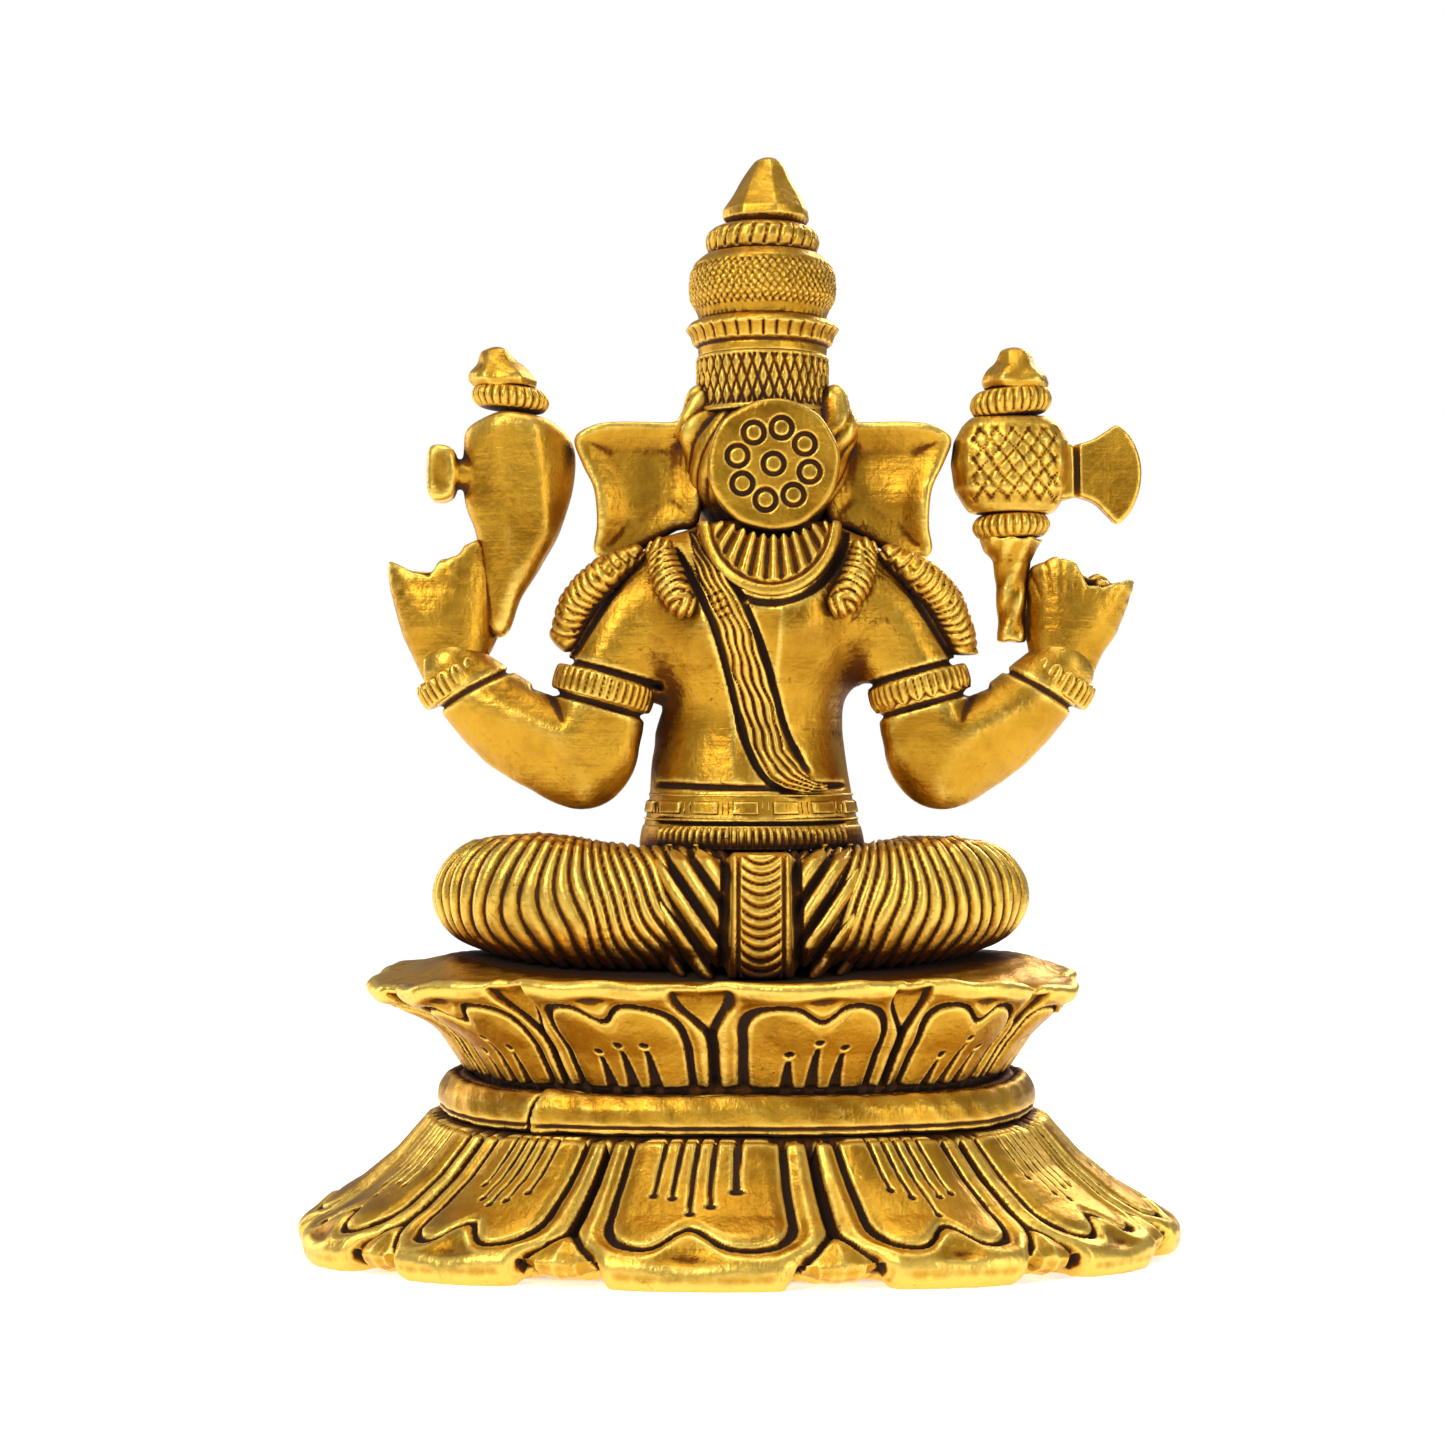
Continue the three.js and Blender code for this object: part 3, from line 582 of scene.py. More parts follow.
def lower_lotus():
    """The flared tier, engraved with large petals and with small ones between their tips."""
    w, _, top = corners("lower_lotus")[1]
    petal_width = 0.165  # of the small petals between the large ones, as a share of the pitch

    def shape(angle, s, r, z):
        a, _ = petal_place(angle, PETALS, LOWER_PETAL)
        edge = smooth(w - 16, w, r)
        tip = np.abs(2 * a)
        pull = 0.7 * tip**2 + 0.6 * groove(tip - 0.69, 0.13)
        lift = 0.5 * tip**2 + 0.6 * groove(tip - 0.69, 0.14)
        wobble = 0.35 * np.sin(5 * angle + 1) + 0.25 * np.sin(11 * angle)
        near_floor = smooth(7, 1, z) * edge
        z = z - sag(rearwards(angle, r), z)
        return r - (pull + wobble) * edge, z + (lift + 0.35 + 0.3 * np.sin(7 * angle)) * near_floor, 0

    def relief(angle, s):
        a, number = petal_place(angle, PETALS, LOWER_PETAL)
        wander = 0.012 * np.sin(number * 2.3 + 6 * s)
        a = a + wander * (1 - (2 * a) ** 2)
        side = np.abs(a)
        pitch = 21 + 9 * s
        slant = 25.5
        h = 0.95 * (1 - (2 * side) ** 2) * (0.4 + 0.6 * smooth(0, 0.7, s)) - 0.45
        split = 0.5 - petal_width * smooth(0.55, 0.92, s)
        beyond = smooth(-0.3, 0.3, (side - split) * pitch) * (s > 0.55)
        ridge = 1 - np.clip((0.5 - side) / petal_width, 0, 1)
        small = -0.9 + 1.15 * ridge * smooth(0.58, 0.72, s)
        h = h * (1 - beyond) + small * beyond
        h -= 0.85 * groove((side - split) * pitch, 0.55)
        h -= 0.95 * groove((side - 0.5) * pitch, 0.75) * (s < 0.6)
        wall = 0.365 - 0.02 * s
        brace = 0.76 - 0.15 * mound(a / 0.09)
        panel = overlap((side - wall) * pitch, (s - brace) * slant, 6.0)
        h -= 0.95 * groove(panel + 0.2, 0.5)
        h += 0.45 * smooth(0.3, 1.6, panel) * (1 - beyond) * smooth(0, 2.0, (split - side) * pitch)
        h += 0.35 * smooth(-0.4, -2.4, panel)
        lip = smooth(0.4, 2.6, panel) * (1 - beyond) * smooth(0.2, 3.2, (split - side) * pitch)
        h += 0.55 * lip * smooth(0.86, 0.96, s)
        h -= 0.9 * mound(a * pitch / 3.0, (s - 0.80) * slant / 1.5)
        for at, end in ((-0.16, 0.33), (-0.075, 0.40), (0, 0.49), (0.075, 0.41), (0.16, 0.36)):
            reach = end + 0.03 * np.sin(number * 1.7 + at * 30)
            h -= 0.6 * stroke(a, s, at + 0.006 * np.sin(number + 9 * at), reach, 0.2, 0.55, pitch, slant)
        h -= 0.5 * groove(s * slant, 0.8)
        h -= 0.16 * np.abs(np.sin(side * 34 + number)) * smooth(0.82, 0.98, s)
        return h

    face = [
        [w - 18.5, top], [w - 13.6, 12.9], [w - 8.6, 8.5], [w - 4.4, 5.9],
        [w - 1.5, 4.0], [w - 0.2, 2.3], [w - 0.9, 0.7], [w - 3.2, 0],
    ]
    inside = [[w - 10, 0], [w - 17, 10.5], [w - 24, top - 3], [w - 31.5, top - 3], [w - 31.5, top]]
    rest = [face[-1], *inside, face[0]]
    tier("lower_lotus", face, rest, 1456, shape, relief)


def upper_lotus():
    """The seat, engraved with narrower petals below its rim, and with a rough top."""
    low, high = corners("upper_lotus")
    bottom, top = low[2], high[2]
    w = 49.4
    shift_max = high[0] - w + 0.1
    petal_width = 0.11  # of the small petals between the large ones, as a share of the pitch
    face_share = 0.56  # of the section's face lies below the rim

    def shape(angle, s, r, z):
        a, _ = petal_place(angle, PETALS, UPPER_PETAL)
        tip = np.abs(2 * a)
        edge = smooth(w - 11, w - 0.5, r)
        pull = 1.9 * tip**2
        wobble = 0.4 * np.sin(4 * angle + 2) + 0.3 * np.sin(9 * angle)
        drop = 0.25 * np.sin(5 * angle) + 0.15 * np.sin(23 * angle) + 2.4 * np.cos(angle) ** 4
        drop = drop * edge * smooth(30, 37, z)
        crest = smooth(w - 6.5, w - 1.5, r)
        drop = drop + sag(rearwards(angle, r), z) * (1 - 0.28 * crest)
        slide = shift_max * smooth(40.7, w, r)
        return r - (pull + wobble) * edge, z - drop, slide

    def relief(angle, s):
        s = s / face_share
        a, number = petal_place(angle, PETALS, UPPER_PETAL)
        a = a + 0.012 * np.sin(number * 1.9 + 5 * s) * (1 - (2 * a) ** 2)
        side = np.abs(a)
        pitch = 18.5 + 6.5 * np.minimum(s, 1)
        slant = 18.5
        under = smooth(1.06, 0.96, s)
        h = 0.8 * (1 - (2 * side) ** 2) * (0.5 + 0.5 * smooth(0, 0.6, s)) - 0.35
        split = 0.5 - petal_width * smooth(0.5, 0.92, s)
        beyond = smooth(-0.5, 0.5, (side - split) * pitch) * smooth(0.52, 0.62, s)
        ridge = 1 - np.clip((0.5 - side) / petal_width, 0, 1)
        h = h * (1 - beyond) + (-0.75 + 0.45 * ridge) * beyond
        fade = 1 - 0.55 * smooth(0.75, 1.0, s)
        h -= 0.8 * groove((side - split) * pitch, 0.55) * fade
        h -= 0.9 * groove((side - 0.5) * pitch, 0.7) * (s < 0.6)
        crest = 0.87 - 0.15 * mound(a / 0.085)
        panel = overlap((side - 0.385) * pitch, (s - crest) * slant, 5.5)
        h -= 0.9 * groove(panel + 0.2, 0.48)
        h += 0.4 * smooth(0.3, 1.4, panel) * (1 - beyond)
        h += 0.3 * smooth(-0.4, -2.2, panel)
        h -= 0.7 * mound(a * pitch / 2.6, (s - 0.91) * slant / 1.2)
        for at, end in ((-0.15, 0.31), (0, 0.44), (0.15, 0.38)):
            reach = end + 0.03 * np.sin(number * 2.1 + at * 20)
            across = (a - at - 0.008 * np.sin(number * 3 + at)) * pitch
            wedge = groove(across, 0.3 + 0.65 * (1 - s / reach)) * (s < reach)
            dot = groove(np.hypot(across, (s - reach - 0.07) * slant), 0.62)
            h -= 0.85 * np.maximum(wedge, dot)
        h = h * under
        h -= 0.7 * groove(s * slant, 0.9)
        top_lines = groove((side - 0.5) * pitch, 1.6) * smooth(0.98, 1.08, s) * smooth(1.5, 1.2, s)
        lip = 0.3 * mound((s - 1.04) / 0.07) * (1 + 0.5 * np.sin(29 * angle) * np.sin(13 * angle))
        x, y = (3 - s) * np.cos(angle), (3 - s) * np.sin(angle)
        rough = np.sin(11 * x + 5 * np.sin(7 * y)) * np.sin(13 * y + 4 * np.sin(9 * x))
        rough = rough + 0.5 * np.sin(23 * x - 19 * y)
        return h + lip - 0.3 * top_lines + 0.06 * rough * smooth(0.9, 1.1, s)

    face = [
        [36.8, 24.3], [40.4, 30.3], [44.6, 35.0], [48.2, 37.9],
        [w, 38.9], [w - 0.8, 39.5], [w - 4, top - 0.15], [w - 14, top],
    ]
    inside = [[2.9, top], [2.9, top - 4], [31, top - 4], [33, bottom], [36, bottom], [36, 24.3]]
    rest = [face[-1], *inside, face[0]]
    tier("upper_lotus", face, rest, 1456, shape, relief)


def waist_band():
    """A half-round band, lightly hammered, whose ends meet in an upright seam."""
    low, high = corners("waist_band")
    bottom, top, w = low[2], high[2], high[0]

    def relief(angle, s):
        h = -0.32 * groove((s - 0.27) * 9, 0.32)
        h += 0.1 * np.sin(17 * angle + 3 * s) * np.sin(7 * angle) + 0.05 * np.sin(53 * angle + 9 * s)
        seam = np.degrees(angle) - SEAM - 3 * s
        h += 0.55 * smooth(-0.7, 0.4, seam) * smooth(9, 1, seam)
        return h - 1.3 * groove(seam + 0.5, 0.75) - 0.4 * groove((s - 0.93) * 9, 0.5)

    def shape(angle, s, r, z):
        return r, z - sag(rearwards(angle, r), z), 0

    bulge = [
        [w - 2.0, bottom - 0.3], [w - 0.2, bottom], [w + 0.1, bottom + 1.6],
        [w - 0.1, bottom + 3.2], [w - 1.3, top], [w - 3.4, top + 0.1],
    ]
    rest = [bulge[-1], [w - 4.4, top], [w - 4.4, bottom], bulge[0]]
    tier("waist_band", bulge, rest, 1092, shape, relief, 0.22)


# ---------- Patina, wear and painted shade ---
def vertex_array(mesh, what):
    values = np.empty(len(mesh.vertices) * 3, f32)
    getattr(mesh, what).foreach_get("co" if what == "vertices" else "vector", values)
    return values.reshape(-1, 3)


def quads_of(mesh):
    values = np.empty(len(mesh.loops), np.int32)
    mesh.loops.foreach_get("vertex_index", values)
    return values.reshape(-1, 4)


def set_attribute(mesh, name, values):
    layer = mesh.attributes.new(name, "FLOAT", "POINT")
    layer.data.foreach_set("value", np.ascontiguousarray(values, f32))


def blurred(values, radius):
    """A box blur of a dense grid, run twice along each axis."""
    for axis in (0, 1, 2, 0, 1, 2):
        width = 2 * radius + 1
        ends = [(radius + 1, radius) if k == axis else (0, 0) for k in range(3)]
        total = np.cumsum(np.pad(values, ends), axis)
        n = values.shape[axis]
        ahead = np.take(total, np.arange(width, n + width), axis)
        values = (ahead - np.take(total, np.arange(0, n), axis)) / width
    return values


def patina_wear_and_shade(voxel=0.6):
    """Gives every sculpted mesh its groove, edge and occlusion attributes. The occlusion one is high where a
    blurred grid of the whole statue says that there is much metal just outside the surface; it darkens the
    colour there as painted shade as well as patina."""
    places = {name: vertex_array(ob.data, "vertices") / MM for name, ob in built.items()}
    everything = np.vstack(list(places.values()))
    margin = 12 * voxel
    low = everything.min(0) - margin
    size = np.ceil((everything.max(0) + margin - low) / voxel).astype(int)
    full = np.zeros(size, f32)
    for name, ob in built.items():
        p = (places[name] - low) / voxel
        quads = quads_of(ob.data).astype(np.uint32)
        grid = openvdb.FloatGrid.createLevelSetFromPolygons(p, quads=quads, halfWidth=3)
        dense = np.full(size, 3.0, f32)
        grid.copyToArray(dense)
        full = np.maximum(full, (dense < 0).astype(f32))
    near, wide = blurred(full, 2), blurred(full, 6)
    for name, ob in built.items():
        mesh = ob.data
        quads = quads_of(mesh)
        normals = vertex_array(mesh, "vertex_normals")
        p = places[name].astype(float)
        fine = relaxed(relaxed(relaxed(p, quads, 1), quads, 1), quads, 1)
        coarse = fine
        for _ in range(int(16 / COARSE)):
            coarse = relaxed(coarse, quads, 1)
        small = np.einsum("ij,ij->i", fine - p, normals)
        large = np.einsum("ij,ij->i", coarse - p, normals)
        set_attribute(mesh, "groove", np.clip(small * 5 + large * 3.2, 0, 1.2))
        set_attribute(mesh, "edge", np.clip(-small * 7 - large * 2, 0, 1))

        def metal(grid, distance):
            at = ((p + normals * distance - low) / voxel).round().astype(int)
            return grid[tuple(np.clip(at, 0, size - 1).T)]

        # Painted shade (ambient occlusion from metal close by and further off), which also stands for patina
        # in the joints between pieces.
        close = np.clip((metal(near, 0.9) - 0.35) * 1.8, 0, 1)
        broad = np.clip((metal(wide, 2.4) - 0.24) * 1.9, 0, 0.9)
        set_attribute(mesh, "occlusion_shade_and_patina", close + broad)
        mesh.update()


# ---------- Legs and hips ----------
def folds(phase, sharp=5.0):
    """0 on the rounded top of a fold and 1 in the cut beside it."""
    return np.abs(2 * (phase % 1) - 1) ** sharp


def leg(side):
    """A crossed leg. Its cloth is pleated across the limb, fanning round the knee."""
    knee_out, knee_y, bend_radius = 19.0, -5.5, 15.0
    spacing = 1.68 if side > 0 else 1.48
    height = 56.5 if side > 0 else 55.8
    route = [
        (3, 9, 46.2), (12, 10, 46.5), (21, 9.3, 47.2), (29.5, 5.5, 48.0), (33.4, -2, 48.2),
        (30, -11, 47.4), (21, -17, 46.4), (12, -20.6, 45.6), (4.5, -22.3, 45),
    ]
    sizes = (8.9, 9.0, 8.7, 8.2, 7.4, 6.5, 5.8, 5.0, 4.2)

    def field(p):
        x, y = (p[0] - HIP_X) * side, p[1]
        z = p[2] + 0.5 * seat_dip(y) * smooth(54, 42, p[2])
        d = limb((x, y, z), route, sizes, 20)
        d = overlap(d, 40.1 - seat_dip(y) - p[2], 0.6)
        lid = height - 1.3 * smooth(26, 12, x)
        d = overlap(d, z - (lid + 0.25 * np.sin(p[0] * 0.9) * np.sin(y * 0.7)), 1.8)
        fan = np.arctan2(x - knee_out, y - knee_y) % (2 * np.pi)
        around = np.where(y > knee_y, x, knee_out + bend_radius * np.pi + knee_out - x)
        around = np.where(x > knee_out, knee_out + bend_radius * fan, around)
        rear = smooth(-8, 0, y)
        tilt = 8.0 * smooth(32, 6, x) * (z - 47.5) / 13 * rear
        bow = 1.0 * ((z - 47.0) / 6.5) ** 2 * smooth(12, 28, x) * rear
        wander = 0.22 * np.sin(around * 0.31 + side) + 0.14 * np.sin(z * 0.55 + around * 0.4)
        phase = (around - tilt + bow) / spacing + wander
        top = smooth(56.4, 53.2, z)
        d = d + 0.75 * folds(phase, 2.6) * (0.35 + 0.65 * top) - 0.22
        d = d + 0.2 * np.sin(p[0] * 1.9 + y) * np.sin(y * 2.3 - p[0] * 0.9) * (1 - top)
        return d + 0.3 * np.sin(around * 0.23 + 2) * np.sin(z * 0.31)

    sculpt(sided(side, "leg"), "figure", field, 3.6)


def hips():
    """The hips, whose cloth hangs in leaning folds beside the rear pleat."""
    middle = centre("rear_pleat")[0]
    pitch = 3.5

    def field(p):
        x, y, z = p
        r = np.hypot(x - middle - 0.4, (y - 7.6) / 0.93)
        width = looked_up(z, [40, 41.5, 44, 48, 51.5, 54, 55.4], [15.0, 16.2, 17.2, 17.4, 16.6, 15.2, 14.6])
        d = (r - width) * 0.9
        d = overlap(overlap(d, z - 54.6, 0.6), 40.0 - seat_dip(y) - z, 0.6)
        out = np.abs(x - middle)
        q = out - 9.0 * (z - 47.5) / 13
        within = q % pitch - pitch / 2
        cut = groove(within, 0.8) * smooth(4.0, 5.2, out + 0.12 * (z - 47)) * smooth(-6, 2, y)
        round_folds = 0.35 * np.cos(within / (pitch / 2) * np.pi) * smooth(4.0, 5.2, out)
        frontal = folds(np.degrees(np.arctan2(x - middle, -y)) / 9) * smooth(2, -6, y)
        d = d + 1.25 * cut + round_folds + 0.7 * frontal
        d = d + 1.5 * groove(out - 4.55 - 0.03 * (54 - z), 0.75) * (y > 0)
        return d + 0.8 * groove(z - 53.9, 0.9)

    sculpt("dhoti_seat", "figure", field, 3.8)


def rear_pleat():
    """The hanging end of the cloth, with folds that sag like a row of smiles."""
    middle = centre("rear_pleat")[0]

    def field(p):
        x, y, z = p
        out = np.abs(x - middle)
        face = 24.9 - 0.0225 * (z - 47.5) ** 2 - 0.06 * out**2
        d = overlap(out - 3.75 - 0.02 * (54 - z), y - face, 0.7)
        d = overlap(d, 19.5 - y, 0.3)
        d = overlap(overlap(d, z - 53.7, 0.5), 37.4 - z, 0.5)
        smile = (z - 0.176 * (x - middle) ** 2) / 1.42
        cut = folds(smile + 0.1 * np.sin(z), 3.0) * smooth(2.9, 2.3, out)
        return d + 0.62 * cut + 0.55 * groove(out - 2.95, 0.35)

    sculpt("rear_pleat", "ornament", field, 4.6)


def foot(side):
    """A bare foot lying on its outer edge, sole forwards, with its toes outwards and a ring on the ankle."""
    name = sided(side, "foot")
    at = centre(name)
    toe_sizes = (1.15, 0.84, 0.8, 0.74, 0.68)
    toe_ends = (-7.0, -6.9, -6.65, -6.3, -5.8)
    sole = [(7.6, 1.8, 0.6), (4.4, 0.6, 0.2), (0.4, -0.1, 0.3), (-3.6, -0.5, 0.4)]

    def field(p):
        x, _, z = q = (p[0] - at[0]) * side, p[1] - at[1], p[2] - at[2]
        d = limb(q, sole, (2.1, 2.5, 2.3, 2.7), 8, 0.8)
        d = blend(d, ball(q, (5.2, -0.6, -0.9), (2.6, 2.7, 2.3)), 1.0)
        d = blend(d, ball(q, (-3.4, -0.9, 1.5), (2.0, 1.9, 1.7)), 0.8)
        arch = 0.7 * mound((x - 0.8) / 2.0, (z - 2.6) / 1.6)
        for k, (size, reach) in enumerate(zip(toe_sizes, toe_ends)):
            height = 2.5 - 1.28 * k
            toe = [(-4.4, -0.9, height * 0.85), (reach + 0.9, -1.5, height), (reach, -1.2, height)]
            d = blend(d, limb(q, toe, (size * 0.85, size * 0.82, size), 4), 0.12)
        ankle = groove(x - 6.3, 0.3) + groove(x - 7.5, 0.3)
        return overlap(d + arch + 0.45 * ankle, 40.2 - p[2], 0.2)

    sculpt(name, "figure", field, 3.0, FINE_VOXEL)


# ---------- Torso and arms ----------
def lean(z):
    """Where the middle of the leaning torso lies at a height."""
    return looked_up(z, [55, 70, 80, 100], [-2.1, -1.8, -2.6, HEAD_X])


REAR_ARM = [
    (12.0, 4.0, 90.4), (17.4, 4.8, 84.8), (21.4, 5.4, 76.0),
    (24.2, 5.6, 67.6), (31.6, 4.8, 69.8), (40.8, 3.0, 78.6),
]
REAR_ARM_SIZES = (6.4, 6.3, 6.1, 6.9, 6.3, 4.7)
ARMLET_AT, ARMLET_AXIS = (21.5, 5.6, 76.0), (0.28, 0.0, -1.0)
BRACELET_AT, BRACELET_AXIS = (40.4, 3.2, 77.2), (0.5, 0.0, 0.86)
LEFT_REACH = 1.5  # the left wrist stands further out than the right one


def own_side(p, side):
    """Coordinates measured outwards from the body's middle."""
    return ((p[0] - BODY_X) * side, p[1], p[2])


def wrist_side(p, side):
    """The same, with the left forearm drawn in to match the right one."""
    out = (p[0] - BODY_X) * side
    return (out - LEFT_REACH * smooth(27, 40, out) if side > 0 else out, p[1], p[2])


def below_armlet(q):
    """How far down the upper arm a place lies from the armlet."""
    return (q[0] - ARMLET_AT[0]) * 0.27 - (q[2] - ARMLET_AT[2]) * 0.963


def rear_arm_shape(q):
    """The rear arm as a slightly flattened limb with a low, pointed elbow and filed flats."""
    d = limb(q, REAR_ARM, REAR_ARM_SIZES, 16, 1.08)
    d = blend(d, ball(q, (24.2, 5.4, 65.2), (5.4, 5.0, 5.0)), 3.0)
    flats = (((0.35, 0.86, -0.36), (27, 10.2, 66)), ((-0.2, 0.9, -0.1), (20.5, 11.0, 80)),
             ((0.55, 0.55, -0.62), (34.5, 7.2, 67.0)), ((-0.5, 0.72, -0.45), (19.4, 9.0, 65)))
    for normal, at in flats:
        n = np.array(normal) / np.linalg.norm(normal)
        d = overlap(d, sum((q[k] - f32(at[k])) * f32(n[k]) for k in range(3)), 1.0)
    return d


def front_upper_arm(q, side, slimmer=0.0):
    """A front arm from the shoulder to the wrist."""
    if side > 0:
        route = [(14, -3, 88), (18.6, -6, 82.4), (21.6, -9.5, 78.8), (20.8, -18, 78), (19.4, -26, 78.6)]
    else:
        route = [(13, -3, 88), (17.4, -6, 82.4), (20.4, -9.5, 79), (20.4, -18, 79.8), (19.8, -23.6, 82.2)]
    sizes = tuple(r - slimmer for r in (5.0, 4.9, 4.8, 3.9, 3.1))
    return limb(q, route, sizes, 12)


def rounded_profile(heights, widths):
    """A finely divided (height, width) table without the corners of its few given points."""
    fine = np.arange(heights[0] - 8, heights[-1] + 8, 0.25)
    bell = np.exp(-((np.arange(-24, 25) * 0.25 / 1.6) ** 2))
    padded = np.pad(np.interp(fine, heights, widths), 24, mode="edge")
    return fine, np.convolve(padded, bell / bell.sum(), "valid")


TORSO_PROFILE = rounded_profile(
    [53, 56, 58, 60, 62, 64, 66, 70, 74, 77, 80, 84, 88, 91, 94, 97, 100],
    [15.4, 15.2, 14.6, 14.1, 13.8, 13.5, 13.1, 12.2, 12.4, 13.6, 15.1, 16.4, 16.4, 15.1, 12.6, 10.2, 8.4],
)


def torso_shape(p):
    """The trunk of the body without its arms or cuts."""
    x, y, z = p[0] - lean(p[2]), p[1], p[2]
    width = looked_up(z, *TORSO_PROFILE)
    back = np.where(y > 1, 0.86, 0.84)
    d = (np.hypot(x, (y - 1) / back) - width) * 0.78
    spine = 0.75 * groove(x + 0.3, 2.6) * smooth(62, 68, z) * smooth(93, 82, z) * (y > 2)
    blades = -0.7 * mound((np.abs(x) - 7.5) / 4.4, (z - 82.5) / 5.0) * (y > 2)
    d = d + spine + blades
    belly = ball(p, (lean(f32(68.0)), -8.0, 68.6), (12.8, 14.6, 13.0))
    d = blend(d, belly, 4.0)
    chest = ball((np.abs(x), y, z), (6.6, -8.6, 86.0), (6.6, 4.6, 5.4))
    return blend(d, chest, 3.0)


def torso():
    """The torso with the upper arms down to the armlets, cut for the sash, collar and cloth lines."""

    def field(p):
        d = torso_shape(p)
        for side in (1, -1):
            q = own_side(p, side)
            d = blend(d, rear_arm_shape(q), 4.6)
            d = blend(d, front_upper_arm(q, side, 0.35) + np.clip(-12 - p[1], 0, 9), 2.2)
        for side in (1, -1):
            q = own_side(p, side)
            below = below_armlet(q)
            gap = looked_up(q[2], [66, 73], [16.4, 13.6])
            cutoff = np.minimum(below, q[0] - gap)
            d = overlap(d, cutoff, 0.3)
            d = d + 0.65 * groove(below + 2.3, 0.5) * (q[0] > 13.5)
            line = np.abs(q[0] - 17.6 - 0.62 * (93.0 - q[2])) * 0.85
            d = d + 0.55 * groove(line, 0.5) * smooth(76.5, 80, q[2]) * (q[1] > 2) * (q[0] > 15)
        d = overlap(overlap(d, p[2] - 98.8, 0.4), 54.2 - p[2], 0.4)
        x, z = p[0], p[2]
        rear = p[1] > 3
        along, across = sash_place(x, z)
        edge = np.abs(across) - sash_half_width(along) - 0.35
        d = d + 0.8 * groove(edge, 0.55) * rear * smooth(1, 3, along) * smooth(41, 36, along)
        out = x - lean(z)
        for height in (62.7, 57.9):
            hem = groove(z - height + 0.35 * np.cos(out / 6), 0.5)
            d = d + 0.7 * hem * smooth(13.2, 11.5, np.abs(out)) * rear
        collar = np.hypot(x - DISC[0] - 0.4, (z - 98.6) * 0.9) - 10.4
        d = d + 0.7 * groove(collar, 0.5) * (p[1] > 5)
        navel = np.hypot(p[0] - lean(p[2]), p[2] - 66.5)
        return d + 1.4 * mound(navel / 1.1) * (p[1] < -15)

    low, high = corners("torso")
    reach = np.array([13.0, 3.0, 1.0])
    sculpt("torso", "figure", field, 0.5, box=(low - reach, high + reach))


def rear_arm(side):
    """A rear arm below its armlet, with a fine line cut beside the armlet and the bracelet."""
    name = sided(side, "rear_arm")

    def field(p):
        q = wrist_side(p, side)
        d = rear_arm_shape(q)
        below = below_armlet(q)
        d = d + 0.65 * groove(below - 2.3, 0.5) * (q[0] < 31)
        at, axis = BRACELET_AT, BRACELET_AXIS
        above = (q[0] - at[0]) * axis[0] + (q[2] - at[2]) * axis[2]
        d = d + 0.65 * groove(above + 2.4, 0.5) * (q[0] > 33)
        return overlap(d, np.maximum(-below - 1.0, -9), 0.3)

    sculpt(name, "figure", field, 2.2)


def frame_of(axis):
    """Two unit vectors square to an axis; the first lies as near to Y as it can."""
    axis = np.array(axis, float) / np.linalg.norm(axis)
    u = np.array([0, 1.0, 0]) - axis[1] * axis
    u /= np.linalg.norm(u)
    return axis, u, np.cross(axis, u)


def hoop_field(q, at, axis, radius, half_height, ribs, flat=1.0, notches=0.0, cut=0.42):
    """A fluted band round a limb."""
    axis, u, v = frame_of(axis)
    offset = [q[k] - f32(at[k]) for k in range(3)]
    t = sum(offset[k] * f32(axis[k]) for k in range(3))
    a = sum(offset[k] * f32(u[k]) for k in range(3)) * flat
    b = sum(offset[k] * f32(v[k]) for k in range(3))
    r, angle = np.hypot(a, b), np.arctan2(b, a)
    belly = radius + 0.15 + 0.2 * (1 - (t / half_height) ** 2)
    d = overlap(r - belly, np.abs(t) - half_height, 0.5) / max(1, flat)
    phase = angle * ribs / (2 * np.pi) + 0.05 * np.sin(5 * angle)
    rib = folds(phase, 4.0) * smooth(half_height - 0.1, half_height - 0.6, np.abs(t))
    notch = notches * folds(phase * 0.5, 1.5) * smooth(half_height - 1.3, half_height - 0.2, t)
    return d + cut * rib + notch


def bands(side):
    """The armlet and bracelet of a rear arm; only the right armlet has notches."""
    notches = 0.0 if side > 0 else 0.7

    def armlet(p):
        return hoop_field(own_side(p, side), ARMLET_AT, ARMLET_AXIS, 6.75, 1.75, 38, 1.06, notches)

    def bracelet(p):
        return hoop_field(wrist_side(p, side), BRACELET_AT, BRACELET_AXIS, 5.2, 1.75, 30, 1.12, 0.4)

    sculpt(sided(side, "armlet"), "ornament", armlet, 1.5)
    sculpt(sided(side, "bracelet"), "ornament", bracelet, 2.4)


